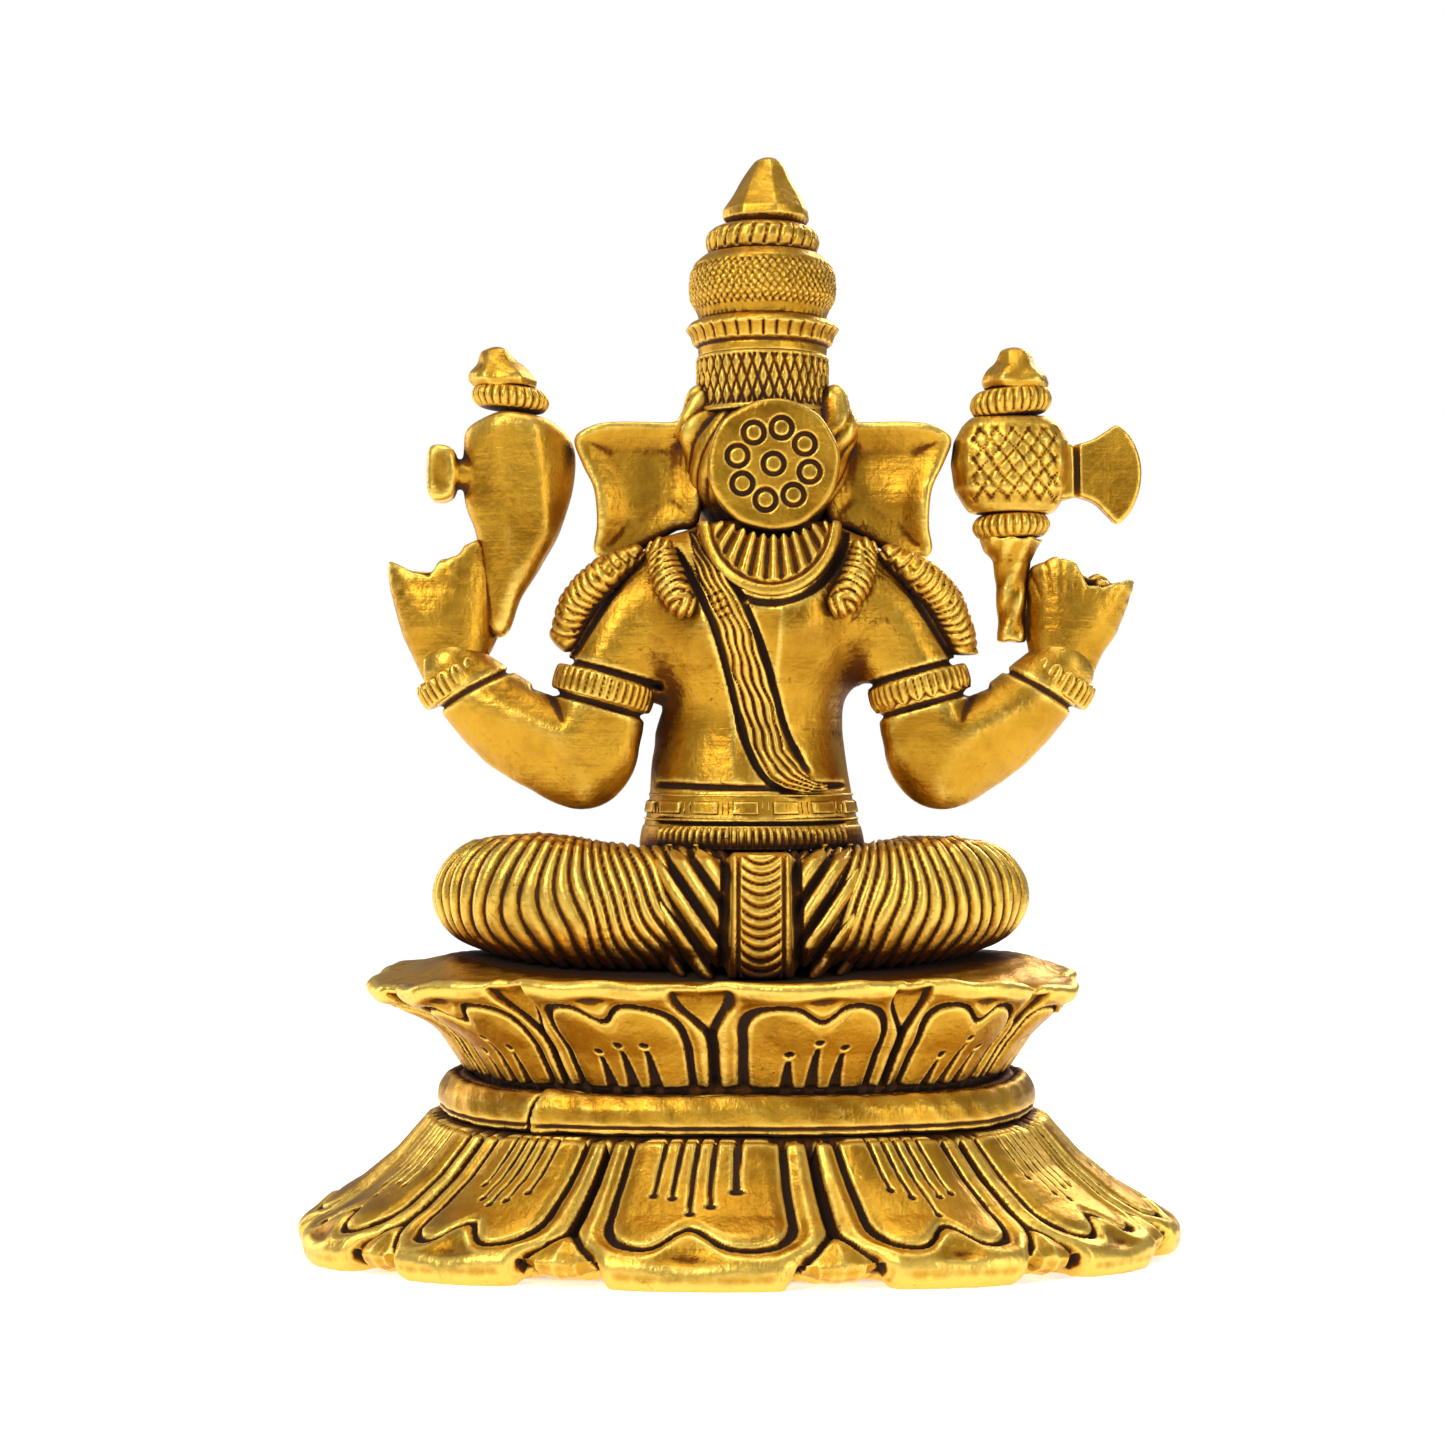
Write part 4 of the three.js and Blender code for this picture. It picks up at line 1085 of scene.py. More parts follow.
def rear_hand(side):
    """A half-closed hand. Its back is smooth and flares to a thin outer corner; the fingers curl in front."""
    name = sided(side, "rear_hand")
    left_edge = ([36, 38.8, 40.7, 41.4, 44.2, 45.4, 48, 51], [97, 96.6, 95.7, 94.5, 94.0, 92.3, 92.4, 93.7])
    right_edge = ([36, 38.4, 40, 43, 44.4, 47, 51], [92.5, 93.4, 94.2, 93.8, 91.0, 90.4, 91.2])
    outs, heights = left_edge if side > 0 else right_edge

    def field(p):
        q = own_side(p, side)
        shift = 1.2 if side > 0 else 0
        wrist = [(41.0 + shift, 3.2, 79.2), (42.4 + shift, 2.6, 84.6), (43.6, 2.2, 90.6)]
        palm = limb(q, wrist, (4.5, 5.4, 6.2), 8, 1.45)
        corner = limb(q, [(45.4, 3.0, 86), (48.2, 3.0, 90.0), (50.2, 2.6, 93.4)], (3.4, 2.4, 1.0), 6, 1.3)
        d = blend(palm, corner, 2.0)
        inner = limb(q, [(41.4, 3.0, 84), (40.2, 2.6, 90), (39.8, 2.4, 95)], (4.2, 3.6, 2.6), 6, 1.5)
        d = blend(d, inner, 1.5)
        d = overlap(d, (q[2] - looked_up(q[0], outs, heights)) * 0.85, 0.5)
        for k in range(4):
            finger = [
                (46.6 - 2.5 * k, 1.6, 90.2), (46.4 - 2.7 * k, -2.8, 90.6),
                (45.6 - 2.7 * k, -4.2, 87.0), (44.8 - 2.6 * k, -1.4, 84.8),
            ]
            d = blend(d, limb(q, finger, (1.5, 1.55, 1.5, 1.3), 6), 0.45)
        thumb = [(38.8, 2.0, 82.5), (37.4, -1.6, 86.0), (39.0, -3.9, 89.0)]
        d = blend(d, limb(q, thumb, (2.1, 1.7, 1.3), 6), 0.7)
        fan = np.degrees(np.arctan2(q[0] - 41, q[2] - 80)) / 9.5
        creases = folds(fan, 6.0) * smooth(86.5, 90, q[2]) * (q[1] > 1)
        scoop = 0.8 * mound((q[0] - 44.5) / 3.0, (q[2] - 91.4) / 3.4) * (q[1] > 1)
        return d + scoop + (0.06 if side > 0 else 0.2) * creases

    sculpt(name, "figure", field, 3.2, LIMB_VOXEL)


def scarf(side):
    """A ribbed end of cloth that lies over the shoulder."""
    name = sided(side, "scarf")
    route = [(17.4, 7.0, 93.8), (21.4, 7.8, 91.2), (24.8, 7.4, 87.6)]
    route += [(26.6, 6.2, 83.2)] if side > 0 else [(27.0, 6.4, 82.6), (28.0, 5.6, 79.6)]
    sizes = (1.7, 2.55, 2.6, 2.2, 1.4)[:len(route)]
    spacing = 1.12 if side > 0 else 1.0

    def field(p):
        q = own_side(p, side)
        along = np.zeros(q[0].shape, f32)
        d = limb(q, route, sizes, 10, 0.8, along)
        across = (q[0] - 22.4) * 0.83 + (q[2] - 90.2) * 0.56
        phase = (along + 0.14 * across**2) / spacing + 0.15 * np.sin(along * 0.7)
        return d + 0.36 * folds(phase, 3.0) - 0.1

    sculpt(name, "ornament", field, 3.4)


def tassel(side):
    """A drop-shaped, ribbed tassel on a shoulder blade."""
    name = sided(side, "tassel")
    route = [(13.6, 11.0, 94.2), (12.6, 12.2, 90.6), (10.6, 13.6, 87.0)]

    def field(p):
        q = own_side(p, side)
        along = np.zeros(q[0].shape, f32)
        d = limb(q, route, (1.9, 2.3, 1.9), 8, 0.85, along)
        across = (q[0] - 12.2) * 0.93 + (q[2] - 90.6) * 0.36
        return d + 0.5 * folds((along - 0.13 * across**2) / 1.06, 2.4) - 0.15

    sculpt(name, "ornament", field, 1.6)


def belt(name, stand, pattern):
    """A band round the waist that follows the body's shape. pattern(angle, t, half) is how deep it is cut."""
    low, high = corners(name)
    middle, half = (low[2] + high[2]) / 2, (high[2] - low[2]) / 2

    def field(p):
        angle = np.arctan2(p[0] - lean(p[2]), p[1] - 1)
        t = p[2] - middle + 0.35 * np.cos(angle)
        d = overlap(torso_shape(p) - stand, np.abs(t) - half, 0.5)
        d = overlap(d, -torso_shape(p) - 2.5, 0.4)
        return d + pattern(angle, t, half)

    room = (low - np.array([0, 3.0, 0]), high + np.array([0, 1.0, 0]))
    sculpt(name, "ornament", field, 1.6, box=room)


def belts():
    """A beaded belt on the hips and a panelled one on the waist."""

    def beads(angle, t, half):
        phase = angle * 13.2
        bead = np.sqrt(np.clip(1 - (2 * (phase % 1) - 1) ** 2, 0, 1))
        inner = smooth(half - 0.2, half - 0.5, np.abs(t)) * ((np.abs(angle) < 1.05) | (np.abs(angle) > 1.9))
        taper = np.sqrt(np.clip(1 - (t / (half - 0.25)) ** 4, 0, 1))
        return (0.55 - 0.85 * bead * taper) * inner

    def panels(angle, t, half):
        u = (angle * 14.5 + 2.2) % 6.4 - 3.2
        bars = np.maximum(groove(np.abs(u) - 2.35, 0.34), groove(np.abs(u) - 3.1, 0.34))
        inner = smooth(half - 0.4, half - 0.8, np.abs(t))
        line = groove(np.abs(t) - half + 0.8, 0.34)
        return 0.85 * np.maximum(bars * inner, line) - 0.15 * inner

    belt("hip_belt", 0.15, beads)
    belt("waist_belt", 0.2, panels)


SASH = [
    (7.6, 97.6), (5.6, 94.2), (3.2, 90.0), (0.6, 84.4), (-1.8, 77),
    (-3.6, 70), (-6.0, 65.2), (-9.6, 62.7), (-13.2, 62.4),
]


def sash_place(x, z):
    """(length down the sash, distance across it)."""
    return route_2d(x, z, SASH, 20)


def sash_half_width(along):
    return 1.85 + 0.55 * smooth(4, 28, along) - 1.75 * smooth(34, 43, along)


def sash():
    """Five twisted strands, tied across a third of the way down, whose end tucks in at the waist."""

    def field(p):
        x, y, z = p
        along, side = sash_place(x, z)
        half = sash_half_width(along)
        back = torso_shape(p)
        thick = 1.1 * np.sqrt(np.clip(1.1 - (side / half) ** 2, 0.03, 1))
        d = overlap(np.abs(side) - half, back - thick, 0.35)
        d = overlap(d, -back - 1.6, 0.3)
        d = overlap(d, -(y - 1.0), 0.3)
        d = overlap(d, 61.6 - z, 0.3)
        d = overlap(d, along - 42.5, 0.3)
        twist = 0.22 * np.sin(along * 0.5) + 0.12 * np.sin(along * 1.3 + side)
        strand = folds((side / half * 0.5 + 0.5) * 4.4 + 0.3 + twist, 2.6)
        d = d + 0.6 * strand * smooth(half + 0.1, half - 0.3, np.abs(side))
        tied = smooth(9, 10, along) * smooth(15, 14, along) * smooth(1.1, 0.7, np.abs(side - 0.6))
        return d + 0.4 * groove((along % 1.1) - 0.55, 0.24) * tied

    low, high = corners("sash")
    room = (low - np.array([8.0, 1, 0.8]), high + np.array([2.0, 2, 1.0]))
    sculpt("sash", "ornament", field, 1.0, box=room)


def rear_collar():
    """A bib that hangs from under the disc, with flutes that spread from the disc's middle."""
    thick_from, face_at = 5.5, 15.2

    def field(p):
        x, y, z = p[0] - DISC[0], p[1], p[2]
        r = np.hypot(x, z - DISC[2])
        angle = np.arctan2(x, DISC[2] - z)
        bib = np.hypot(x - 0.4, (z - 98.6) * 0.9) - 9.9
        face = y - (face_at - 0.024 * x**2 - 0.2 * np.clip(z - 90, 0, 99))
        d = overlap(overlap(bib, face, 0.6), thick_from - y, 0.3)
        d = overlap(d, 9.4 - r, 0.3)
        d = overlap(d, z - 98.4, 0.8)
        inner = smooth(-2.0, -2.5, bib)
        flute = folds(np.degrees(angle) / 8.4 + 0.5 + 0.08 * np.sin(angle * 5), 1.5)
        return d + 0.85 * flute * inner + 0.5 * groove(bib + 1.9, 0.4) + 0.3 * smooth(-0.8, 0, bib)

    sculpt("rear_collar", "ornament", field, 2.9)


def necklace():
    """A ribbed chain with a pendant."""
    half = [(11, -7.4, 93.8), (7.8, -13.8, 87.6)]
    route = [(-x, y, z) for x, y, z in half] + [(0, -16.2, 83.8)] + half[::-1]

    def field(p):
        q = (p[0] - HEAD_X, p[1], p[2])
        along = np.zeros(q[0].shape, f32)
        d = limb(q, route, (1.2, 1.6, 2.0, 1.6, 1.2), 16, 1, along)
        d = d + 0.45 * folds(along / 1.45, 3)
        pendant = ball(q, (0, -17.3, 82.4), (1.6, 1.1, 2.0))
        return blend(d, pendant, 0.3)

    sculpt("front_necklace", "ornament", field, 2.0)


# ---------- Head ----------
def head_shape(p):
    x, y, z = p[0] - HEAD_X, p[1], p[2]
    q = (np.abs(x), y, z)
    d = ball((x, y, z), (0, -0.4, 107.6), (11.8, 11.0, 11.2))
    d = blend(d, ball(q, (4.4, -5.6, 112.6), (6.2, 6.4, 5.6)), 2.6)
    d = blend(d, ball((x, y, z), (0, -8.4, 104.2), (8.6, 7.0, 7.4)), 3.0)
    return blend(d, ball(q, (6.4, -8.6, 101.6), (4.4, 5.4, 4.6)), 2.4)


TRUNK = [
    (0, -9.5, 108), (-0.4, -16.6, 102.4), (-0.8, -21.2, 94.6), (0, -24.0, 86.8),
    (2.8, -26.8, 80.2), (8.6, -28.8, 77.4), (13.4, -29.8, 80.2), (14.4, -30.2, 84.0),
]
TRUNK_SIZES = (6.4, 5.6, 4.7, 4.1, 3.6, 3.1, 2.6, 2.3)


def head():
    """The head with its eyes, brows, lip, forehead mark and combed hair."""

    def field(p):
        x, y, z = p[0] - HEAD_X, p[1], p[2]
        q = (np.abs(x), y, z)
        d = head_shape(p)
        root = limb((x, y, z), TRUNK[:3], TRUNK_SIZES[:3], 6) + 0.3
        d = blend(d, root + np.clip(98.5 - z, 0, 9), 2.6)
        socket = ball(q, (5.7, -12.9, 106.6), (2.5, 1.7, 1.9))
        d = carve(d, socket, 1.0)
        eye = ball(q, (5.7, -12.2, 106.5), (1.75, 1.5, 1.15))
        d = blend(d, eye, 0.25)
        lid = groove(np.hypot((q[0] - 5.7) / 1.25, (z - 106.4)) - 1.75, 0.4) * (y < -9) * (z > 106.2)
        brow = groove(np.hypot(q[0] - 5.4, (z - 105.9) * 1.1) - 3.7, 0.6) * (z > 107.2) * (y < -6)
        d = d + 0.4 * lid - 0.6 * brow
        bridge = smooth(-11, -13, y) * smooth(4.6, 2.5, np.abs(x)) * smooth(108, 105, z)
        d = d + 0.4 * folds((z - 0.05 * x**2) / 1.7, 4) * bridge
        lip = limb(q, [(2.6, -12.4, 96.6), (5.4, -11.0, 97.6), (6.8, -8.6, 98.6)], (1.3, 1.1, 0.8), 4)
        d = blend(d, lip, 0.8)
        mark = np.abs(np.hypot(x, (z - 112.2) / 1.9) - 1.5)
        d = d + 0.35 * groove(mark, 0.4) * (y < -8)
        for at, size in (((9.2, 3.0, 115.2), 2.1), ((10.2, 3.6, 111.6), 2.3)):
            d = blend(d, ball(q, at, (size, size, size * 1.3)), 1.8)
        hair = folds((np.degrees(np.arctan2(x, y)) + 3 * z) / 13, 3) * smooth(1, 5, y)
        return overlap(d + 0.4 * hair, 95.0 - z, 0.4)

    sculpt("head", "figure", field, 1.6)


def trunk():
    """The trunk, ringed with wrinkles along its middle, with a hollow in its tip."""

    def field(p):
        x, y, z = p[0] - HEAD_X, p[1], p[2]
        along = np.zeros(x.shape, f32)
        d = limb((x, y, z), TRUNK, TRUNK_SIZES, 22, 1, along)
        bridge = smooth(5, 14, along) * smooth(62, 54, along)
        d = d + 0.36 * folds(along / 1.75, 4) * bridge
        tip = ball((x, y, z), (14.4, -30.4, 85.6), (1.2, 1.2, 1.1))
        return carve(d, tip, 0.4)

    sculpt("trunk", "figure", field, 1.4, LIMB_VOXEL)


def tusk(side):
    """The left tusk is whole and the right one is broken off short."""
    whole = side > 0
    length = 1.0 if whole else 0.55
    middle = (6.8, -12 - 4.6 * length, 99.6 - 3.2 * length)
    end = (7.6, -12 - 8.6 * length, 100.0 - 3.4 * length)

    def field(p):
        q = ((p[0] - HEAD_X) * side, p[1], p[2])
        d = limb(q, [(5.6, -11.4, 99.8), middle, end], (1.75, 1.5, 0.65 if whole else 1.25), 6)
        if not whole:
            d = overlap(d, -(q[1] + 16.0) + 0.25 * np.sin(q[0] * 4) * np.sin(q[2] * 5), 0.15)
        ring = groove(q[1] + 12.9, 0.35) + groove(q[1] + 13.9, 0.3)
        return d - 0.25 * ring

    sculpt(sided(side, "tusk"), "ornament", field, 1.6, FINEST_VOXEL)


def ear(side):
    """A large flat ear, dished, with thin veins on its front."""
    rim = [
        (8.6, 112.4), (13, 112.7), (19, 112.7), (23, 112.2), (25.8, 110.4), (24.8, 107), (23.1, 103.3),
        (22.7, 98.5), (23.1, 94.8), (20.4, 93.6), (16, 95.5), (12, 97.8), (8.6, 99.6),
    ]
    edge = closed_curve(rim, 60)
    veins = ((10, 108), (21, 109.4)), ((10, 105.5), (20.4, 104)), ((10, 103.5), (19.6, 99))

    def field(p):
        u, v = (p[0] - CROWN_X) * side, p[2]
        flat = outline(u, v, edge)
        dish = 0.9 * smooth(0.6, 4.4, -flat) + 0.36 * np.sin((u - 8) * 0.33)
        sway = 1.1 * smooth(14, 25, u) - 0.5 + 0.4 * np.sin(v * 0.45)
        y = p[1] - 2.6
        rear = y - (1.75 + sway - dish)
        front = -(y - sway) - 1.35 + 0.5 * smooth(0.6, 3.5, -flat)
        vein = 0.0
        for (ax, az), (bx, bz) in veins:
            ex, ez = bx - ax, bz - az
            t = np.clip(((u - ax) * ex + (v - az) * ez) / (ex * ex + ez * ez), 0, 1)
            vein = np.maximum(vein, groove(np.hypot(u - ax - t * ex, v - az - t * ez), 0.7))
        front = front + 0.28 * vein * (y < 0) + 0.12 * np.sin(v * 1.3 + u * 0.5) * (y < 0)
        return overlap(overlap(flat, rear, 0.9), front, 0.7)

    sculpt(sided(side, "ear"), "figure", field, 2.0, LIMB_VOXEL)


# ---------- Crown ----------
def lathe_piece(name, profile, cut):
    """A revolved piece. profile is [radius, height above the node's foot], engraved by cut(angle, r, z)."""
    foot = corners(name)[0][2]
    ends = (0, profile[0][1]), (0, profile[-1][1])
    section = np.array([(r, foot + h) for r, h in (ends[0], *profile, ends[1])], float)

    def field(p):
        x, y, z = p[0] - centre(name)[0], p[1], p[2]
        r, angle = np.hypot(x, y), np.arctan2(x, y)
        return outline(r, z, section) - 0.12 + cut(angle, r, z - foot)

    sculpt(name, "ornament", field, 1.2)


def facet(angle, count):
    """How far an angle lies from the middle of its facet, for a spire of twice count facets."""
    return np.abs((angle / (np.pi / count)) % 1 - 0.5) * (np.pi / count)


def hatch(u, v, slope, spacing, width):
    """Two crossing sets of engraved lines; slope is how much they lean from upright."""
    one = np.abs((u + slope * v) / spacing % 1 - 0.5) * spacing
    two = np.abs((u - slope * v) / spacing % 1 - 0.5) * spacing
    return np.maximum(groove(one, width), groove(two, width))


def crown():
    """The crown's hatched band and drum, ribbed flange and ring, and its tip."""

    def band_cut(angle, r, z):
        inner = smooth(0.5, 1.0, z) * smooth(7.7, 7.2, z) * (r > 5)
        lines = hatch(angle * 9.2, z + 0.2 * np.sin(angle * 3), 0.36, 1.55, 0.3)
        return 0.42 * lines * inner + 0.2 * inner

    def flange_cut(angle, r, z):
        rib = folds(angle * 32 / (2 * np.pi) + 0.1 * np.sin(3 * angle), 4)
        inner = smooth(1.3, 1.8, z) * smooth(3.9, 3.3, z) * (r > 7)
        return 0.5 * rib * inner + 0.35 * groove(z - 1.2, 0.35)

    def drum_cut(angle, r, z):
        marks = hatch(angle * 9.6 + 0.15 * np.sin(z * 3), z + 0.2 * np.sin(angle * 7), 0.8, 1.02, 0.2)
        inner = smooth(0.8, 1.4, z) * smooth(7.4, 6.9, z) * (r > 6)
        return 0.26 * marks * inner

    def ring_cut(angle, r, z):
        rib = folds(angle * 24 / (2 * np.pi) + 0.12 * z, 5)
        return 0.5 * rib * (r > 5) * smooth(0.2, 0.6, z) * smooth(3.4, 2.9, z)

    band = [(9.3, 0), (9.4, 0.4), (9.25, 0.9), (9.3, 7.0), (9.2, 7.5), (8.9, 7.9)]
    flange = [
        (8.7, -0.2), (8.8, 0.8), (9.5, 1.5), (9.9, 2.9),
        (10.5, 3.6), (9.9, 4.3), (8.9, 4.8), (8.4, 5.0),
    ]
    drum = [
        (8.6, -0.2), (8.9, 0.8), (10.0, 2.7), (10.15, 4.2),
        (10.0, 6.2), (9.3, 7.6), (8.5, 8.3), (8.0, 8.7),
    ]
    ring = [(7.0, -0.2), (7.5, 0.6), (7.8, 1.6), (7.6, 2.7), (6.8, 3.4), (6.2, 3.7)]
    lathe_piece("crown_band", band, band_cut)
    lathe_piece("crown_flange", flange, flange_cut)
    lathe_piece("crown_drum", drum, drum_cut)
    lathe_piece("crown_ring", ring, ring_cut)
    finial()


def finial():
    """The crown's eight-sided tip."""
    low, high = corners("crown_finial")
    height = high[2] - low[2]
    heights = [0, 1.0, 2.1, height - 1.6, height - 0.6, height]

    def field(p):
        x, y, z = p[0] - HEAD_X, p[1], p[2] - low[2]
        r = np.hypot(x, y)
        across = r * np.cos(facet(np.arctan2(x, y) + 0.2, 4))
        width = looked_up(z, heights, [5.1, 5.85, 5.75, 2.4, 1.7, 0.9])
        d = (0.6 * across + 0.4 * r - width) * 0.9
        d = overlap(overlap(d, z - height + 0.1, 0.9), -z - 0.3, 0.4)
        return d + 0.12 * np.sin(x * 0.8) * np.sin(z * 0.9)

    sculpt("crown_finial", "ornament", field, 1.0)


def disc():
    """The disc behind the head, punched with a ring of eight circles round a ninth."""
    radius = 8.9
    face = corners("rear_disc")[0][1]
    turns = [2 * np.pi * k / 8 + 0.22 for k in range(8)]
    circles = [(4.95 * np.cos(turn), 4.95 * np.sin(turn)) for turn in turns] + [(0, 0)]

    def field(p):
        x, z, y = p[0] - DISC[0], p[2] - DISC[2], p[1] - face
        r = np.hypot(x, z)
        d = overlap(r - radius + 0.05 * np.sin(5 * np.arctan2(x, z)), np.abs(y - 1.3) - 1.75, 0.9)
        marks = np.zeros(x.shape, f32)
        for across, up in circles:
            away = np.hypot(x - across, z - up)
            marks = np.maximum(marks, groove(away - 1.4, 0.4))
            marks = np.maximum(marks, -0.8 * groove(away, 0.55))
        worn = 0.12 * np.sin(x * 0.9 + 1) * np.sin(z * 0.7)
        return d + (y > 1.3) * (0.6 * marks + worn)

    sculpt("rear_disc", "ornament", field, 1.2, FINE_VOXEL)


# ---------- Noose and axe ----------
def noose():
    """A pear-shaped loop without a hole, with a knob beside it. Its outlines are given as (across from the
    middle of its collar, depth under its top)."""
    middle = centre("noose_collar")[0]
    low, high = corners("noose")
    top = high[2]
    loop = [
        (6.5, 5.1), (5.6, 2.0), (0.6, 0.2), (-5.2, 1.2), (-8.4, 4.0), (-9.0, 8.9), (-7.3, 15.3), (-4.7, 20.6),
        (-1.5, 25.9), (0.5, 31), (4.0, 30), (5.2, 24), (4.5, 20.5), (4.9, 16.4), (6.4, 12.1),
    ]
    knob = [
        (9.0, 4.7), (10.8, 5.0), (11.3, 7), (11.3, 10.6),
        (10.2, 12.4), (7.9, 12.0), (7.2, 9.2), (7.5, 5.6),
    ]
    loop = closed_curve([(across, top - depth) for across, depth in loop], 60)
    knob = closed_curve([(across, top - depth) for across, depth in knob], 28)

    def field(p):
        u, v, y = p[0] - middle, p[2], p[1] - HELD_Y
        flat = outline(u, v, loop)
        thick = 4.6 - 0.06 * (top - 6 - v)
        round_off = 0.035 * (u + 1.5) ** 2 + 0.9 * smooth(1.5, 6.5, u + 0.12 * (top - v))
        rear = y - (thick - round_off - 1.9 * smooth(-3.6, -8.6, u - 0.13 * (v - top + 6)))
        front = -y - (thick - 2.4 * smooth(-2.8, 0.3, flat))
        d = overlap(overlap(flat, rear, 2.6), front, 1.4)
        neck = overlap(np.hypot((v - (top - 8.6)) / 1.2, y / 1.2) - 1.7, np.abs(u - 7) - 2.4, 0.3)
        side = overlap(outline(u, v, knob), np.abs(y) - 2.6, 1.2)
        d = blend(d, blend(neck, side, 0.5), 0.6)
        return d + 0.06 * np.sin(u * 0.9 + 1) * np.sin(v * 0.7)

    room = (low - np.array([0.6, 2.2, 1.6]), high + np.array([3.6, 1.2, 0.4]))
    sculpt("noose", "figure", field, 1.8, box=room)


def fluted_collar(name, tilt):
    """A short bulging collar with upright flutes, whose right end is lifted by tilt."""
    count = 26
    at = centre(name)
    wide, _, half = corners(name)[1] - at

    def field(p):
        x, y, z = p[0] - at[0], (p[1] - at[1]) / 0.8, p[2] - at[2] - tilt * (p[0] - at[0])
        r, angle = np.hypot(x, y), np.arctan2(x, y)
        belly = wide + 0.15 - 0.9 * (z / half) ** 2
        d = overlap((r - belly) * 0.8, np.abs(z) - half - 0.15, 0.5)
        rib = folds(angle * count / (2 * np.pi), 2.4)
        rib = rib * smooth(half + 0.1, half - 0.5, np.abs(z)) * (r > 2)
        return d + 0.4 * rib

    sculpt(name, "ornament", field, 1.0, FINE_VOXEL)


def lumpy_finial(name, turn, lean_out=0.0):
    """A roughly filed, six-sided spire. lean_out is how far its tip stands to the side."""
    low, high = corners(name)
    at = centre(name)
    height = high[2] - low[2]
    wide = (high[0] - low[0]) / 2
    heights = [-0.4, 0.7, 1.5, height * 0.55, height - 0.7, height]
    widths = [wide - 0.2, wide + 0.5, wide + 0.2, wide * 0.72, 1.7, 0.8]

    def field(p):
        z = p[2] - low[2]
        x, y = p[0] - at[0] - lean_out * z / height, (p[1] - at[1]) / 0.86
        r = np.hypot(x, y)
        across = r * np.cos(facet(np.arctan2(x, y) + turn, 3))
        d = (0.5 * r + 0.52 * across - looked_up(z, heights, widths)) * 0.85
        d = overlap(overlap(d, z - height, 0.8), -z - 0.3, 0.3)
        return d + 0.2 * np.sin(x * 1.3 + turn) * np.sin(z * 1.5)

    sculpt(name, "ornament", field, 1.0)


def axe():
    """The axe's handle, its hatched socket and its fan-shaped blade."""
    middle = centre("axe_socket")[0]
    fan = [
        (40.5, 109.6), (42.8, 109.6), (45.2, 110.2), (47.2, 111.4), (48.9, 112.3),
        (50.6, 110.9), (51.8, 108.4), (52.2, 105.6), (51.7, 102.6), (50.4, 100.0),
        (48.8, 98.7), (47.4, 99.9), (45.6, 101.6), (43.2, 102.4), (40.6, 102.5),
    ]
    fan = closed_curve(fan, 70)

    def handle(p):
        x, y, z = p[0] - middle, p[1] - HELD_Y, p[2]
        width = looked_up(z, [82.5, 90, 93.5, 95.6, 97.4], [1.9, 2.1, 2.6, 3.9, 4.9])
        d = (np.hypot(x, y / 0.8) - width) * 0.8
        d = overlap(overlap(d, z - 96.8, 0.3), 82.6 - z, 0.3)
        return d + 0.22 * np.sin(z * 1.1 + x) * np.sin(x * 1.4)

    def socket(p):
        x, y, z = p[0] - middle, (p[1] - HELD_Y) / 0.62, p[2]
        width = looked_up(z, [99.8, 101, 103.4, 107, 110, 112.2, 113.6], [5.4, 6.4, 7.8, 8.3, 7.9, 6.7, 5.3])
        r = np.hypot(x, y)
        d = overlap(overlap((r - width) * 0.62, z - 113.5, 0.5), 100.1 - z, 0.5)
        inner = smooth(6.4, 5.4, np.abs(x + 0.2)) * smooth(101.2, 102.2, z) * smooth(112.2, 111.4, z)
        lines = hatch(x + 0.2 * np.sin(z), z, 0.82, 2.2, 0.26) * inner
        return d + 0.34 * lines + 0.1 * inner

    def blade(p):
        u, v, y = BODY_X - p[0], p[2], p[1] - HELD_Y
        d = outline(u, v, fan)
        thin = 1.6 - 0.6 * smooth(43, 51.5, u)
        seam = 0.7 * groove(u - 43.2 + 0.02 * (v - 106), 0.5)
        return overlap(d, np.abs(y) - thin + seam, 0.7)

    sculpt("axe_handle", "figure", handle, 1.2)
    sculpt("axe_socket", "figure", socket, 1.2)
    sculpt("axe_blade", "figure", blade, 1.8, ORNAMENT_VOXEL)


# ---------- Front arms ----------
def front_arm(side):
    """A front arm with a beaded line engraved round its upper part."""

    def field(p):
        q = own_side(p, side)
        d = front_upper_arm(q, side)
        down = q[1] - 0.4 * (q[2] - 82)
        band = groove(down + 5.8, 0.5) + groove(down + 8.2, 0.5)
        bead = folds((q[0] * 1.2 + q[2]) / 1.4, 2) * smooth(0.9, 0.6, np.abs(down + 7.0))
        return d + 0.5 * np.clip(band, 0, 1) * (q[2] < 88) + 0.3 * bead

    sculpt(sided(side, "front_arm"), "figure", field, 1.0)


def front_band(side):
    """The bracelet on a front wrist."""
    left = (15.9, -24.4, 78.5), (-0.15, -1, 0.05)
    right = (-23.6, -22, 81.2), (0.1, -0.8, 0.45)
    at, axis = left if side > 0 else right

    def field(p):
        return hoop_field(p, at, axis, 3.85, 1.25, 20, cut=0.35)

    sculpt(sided(side, "front_bracelet"), "ornament", field, 1.2, FINEST_VOXEL)


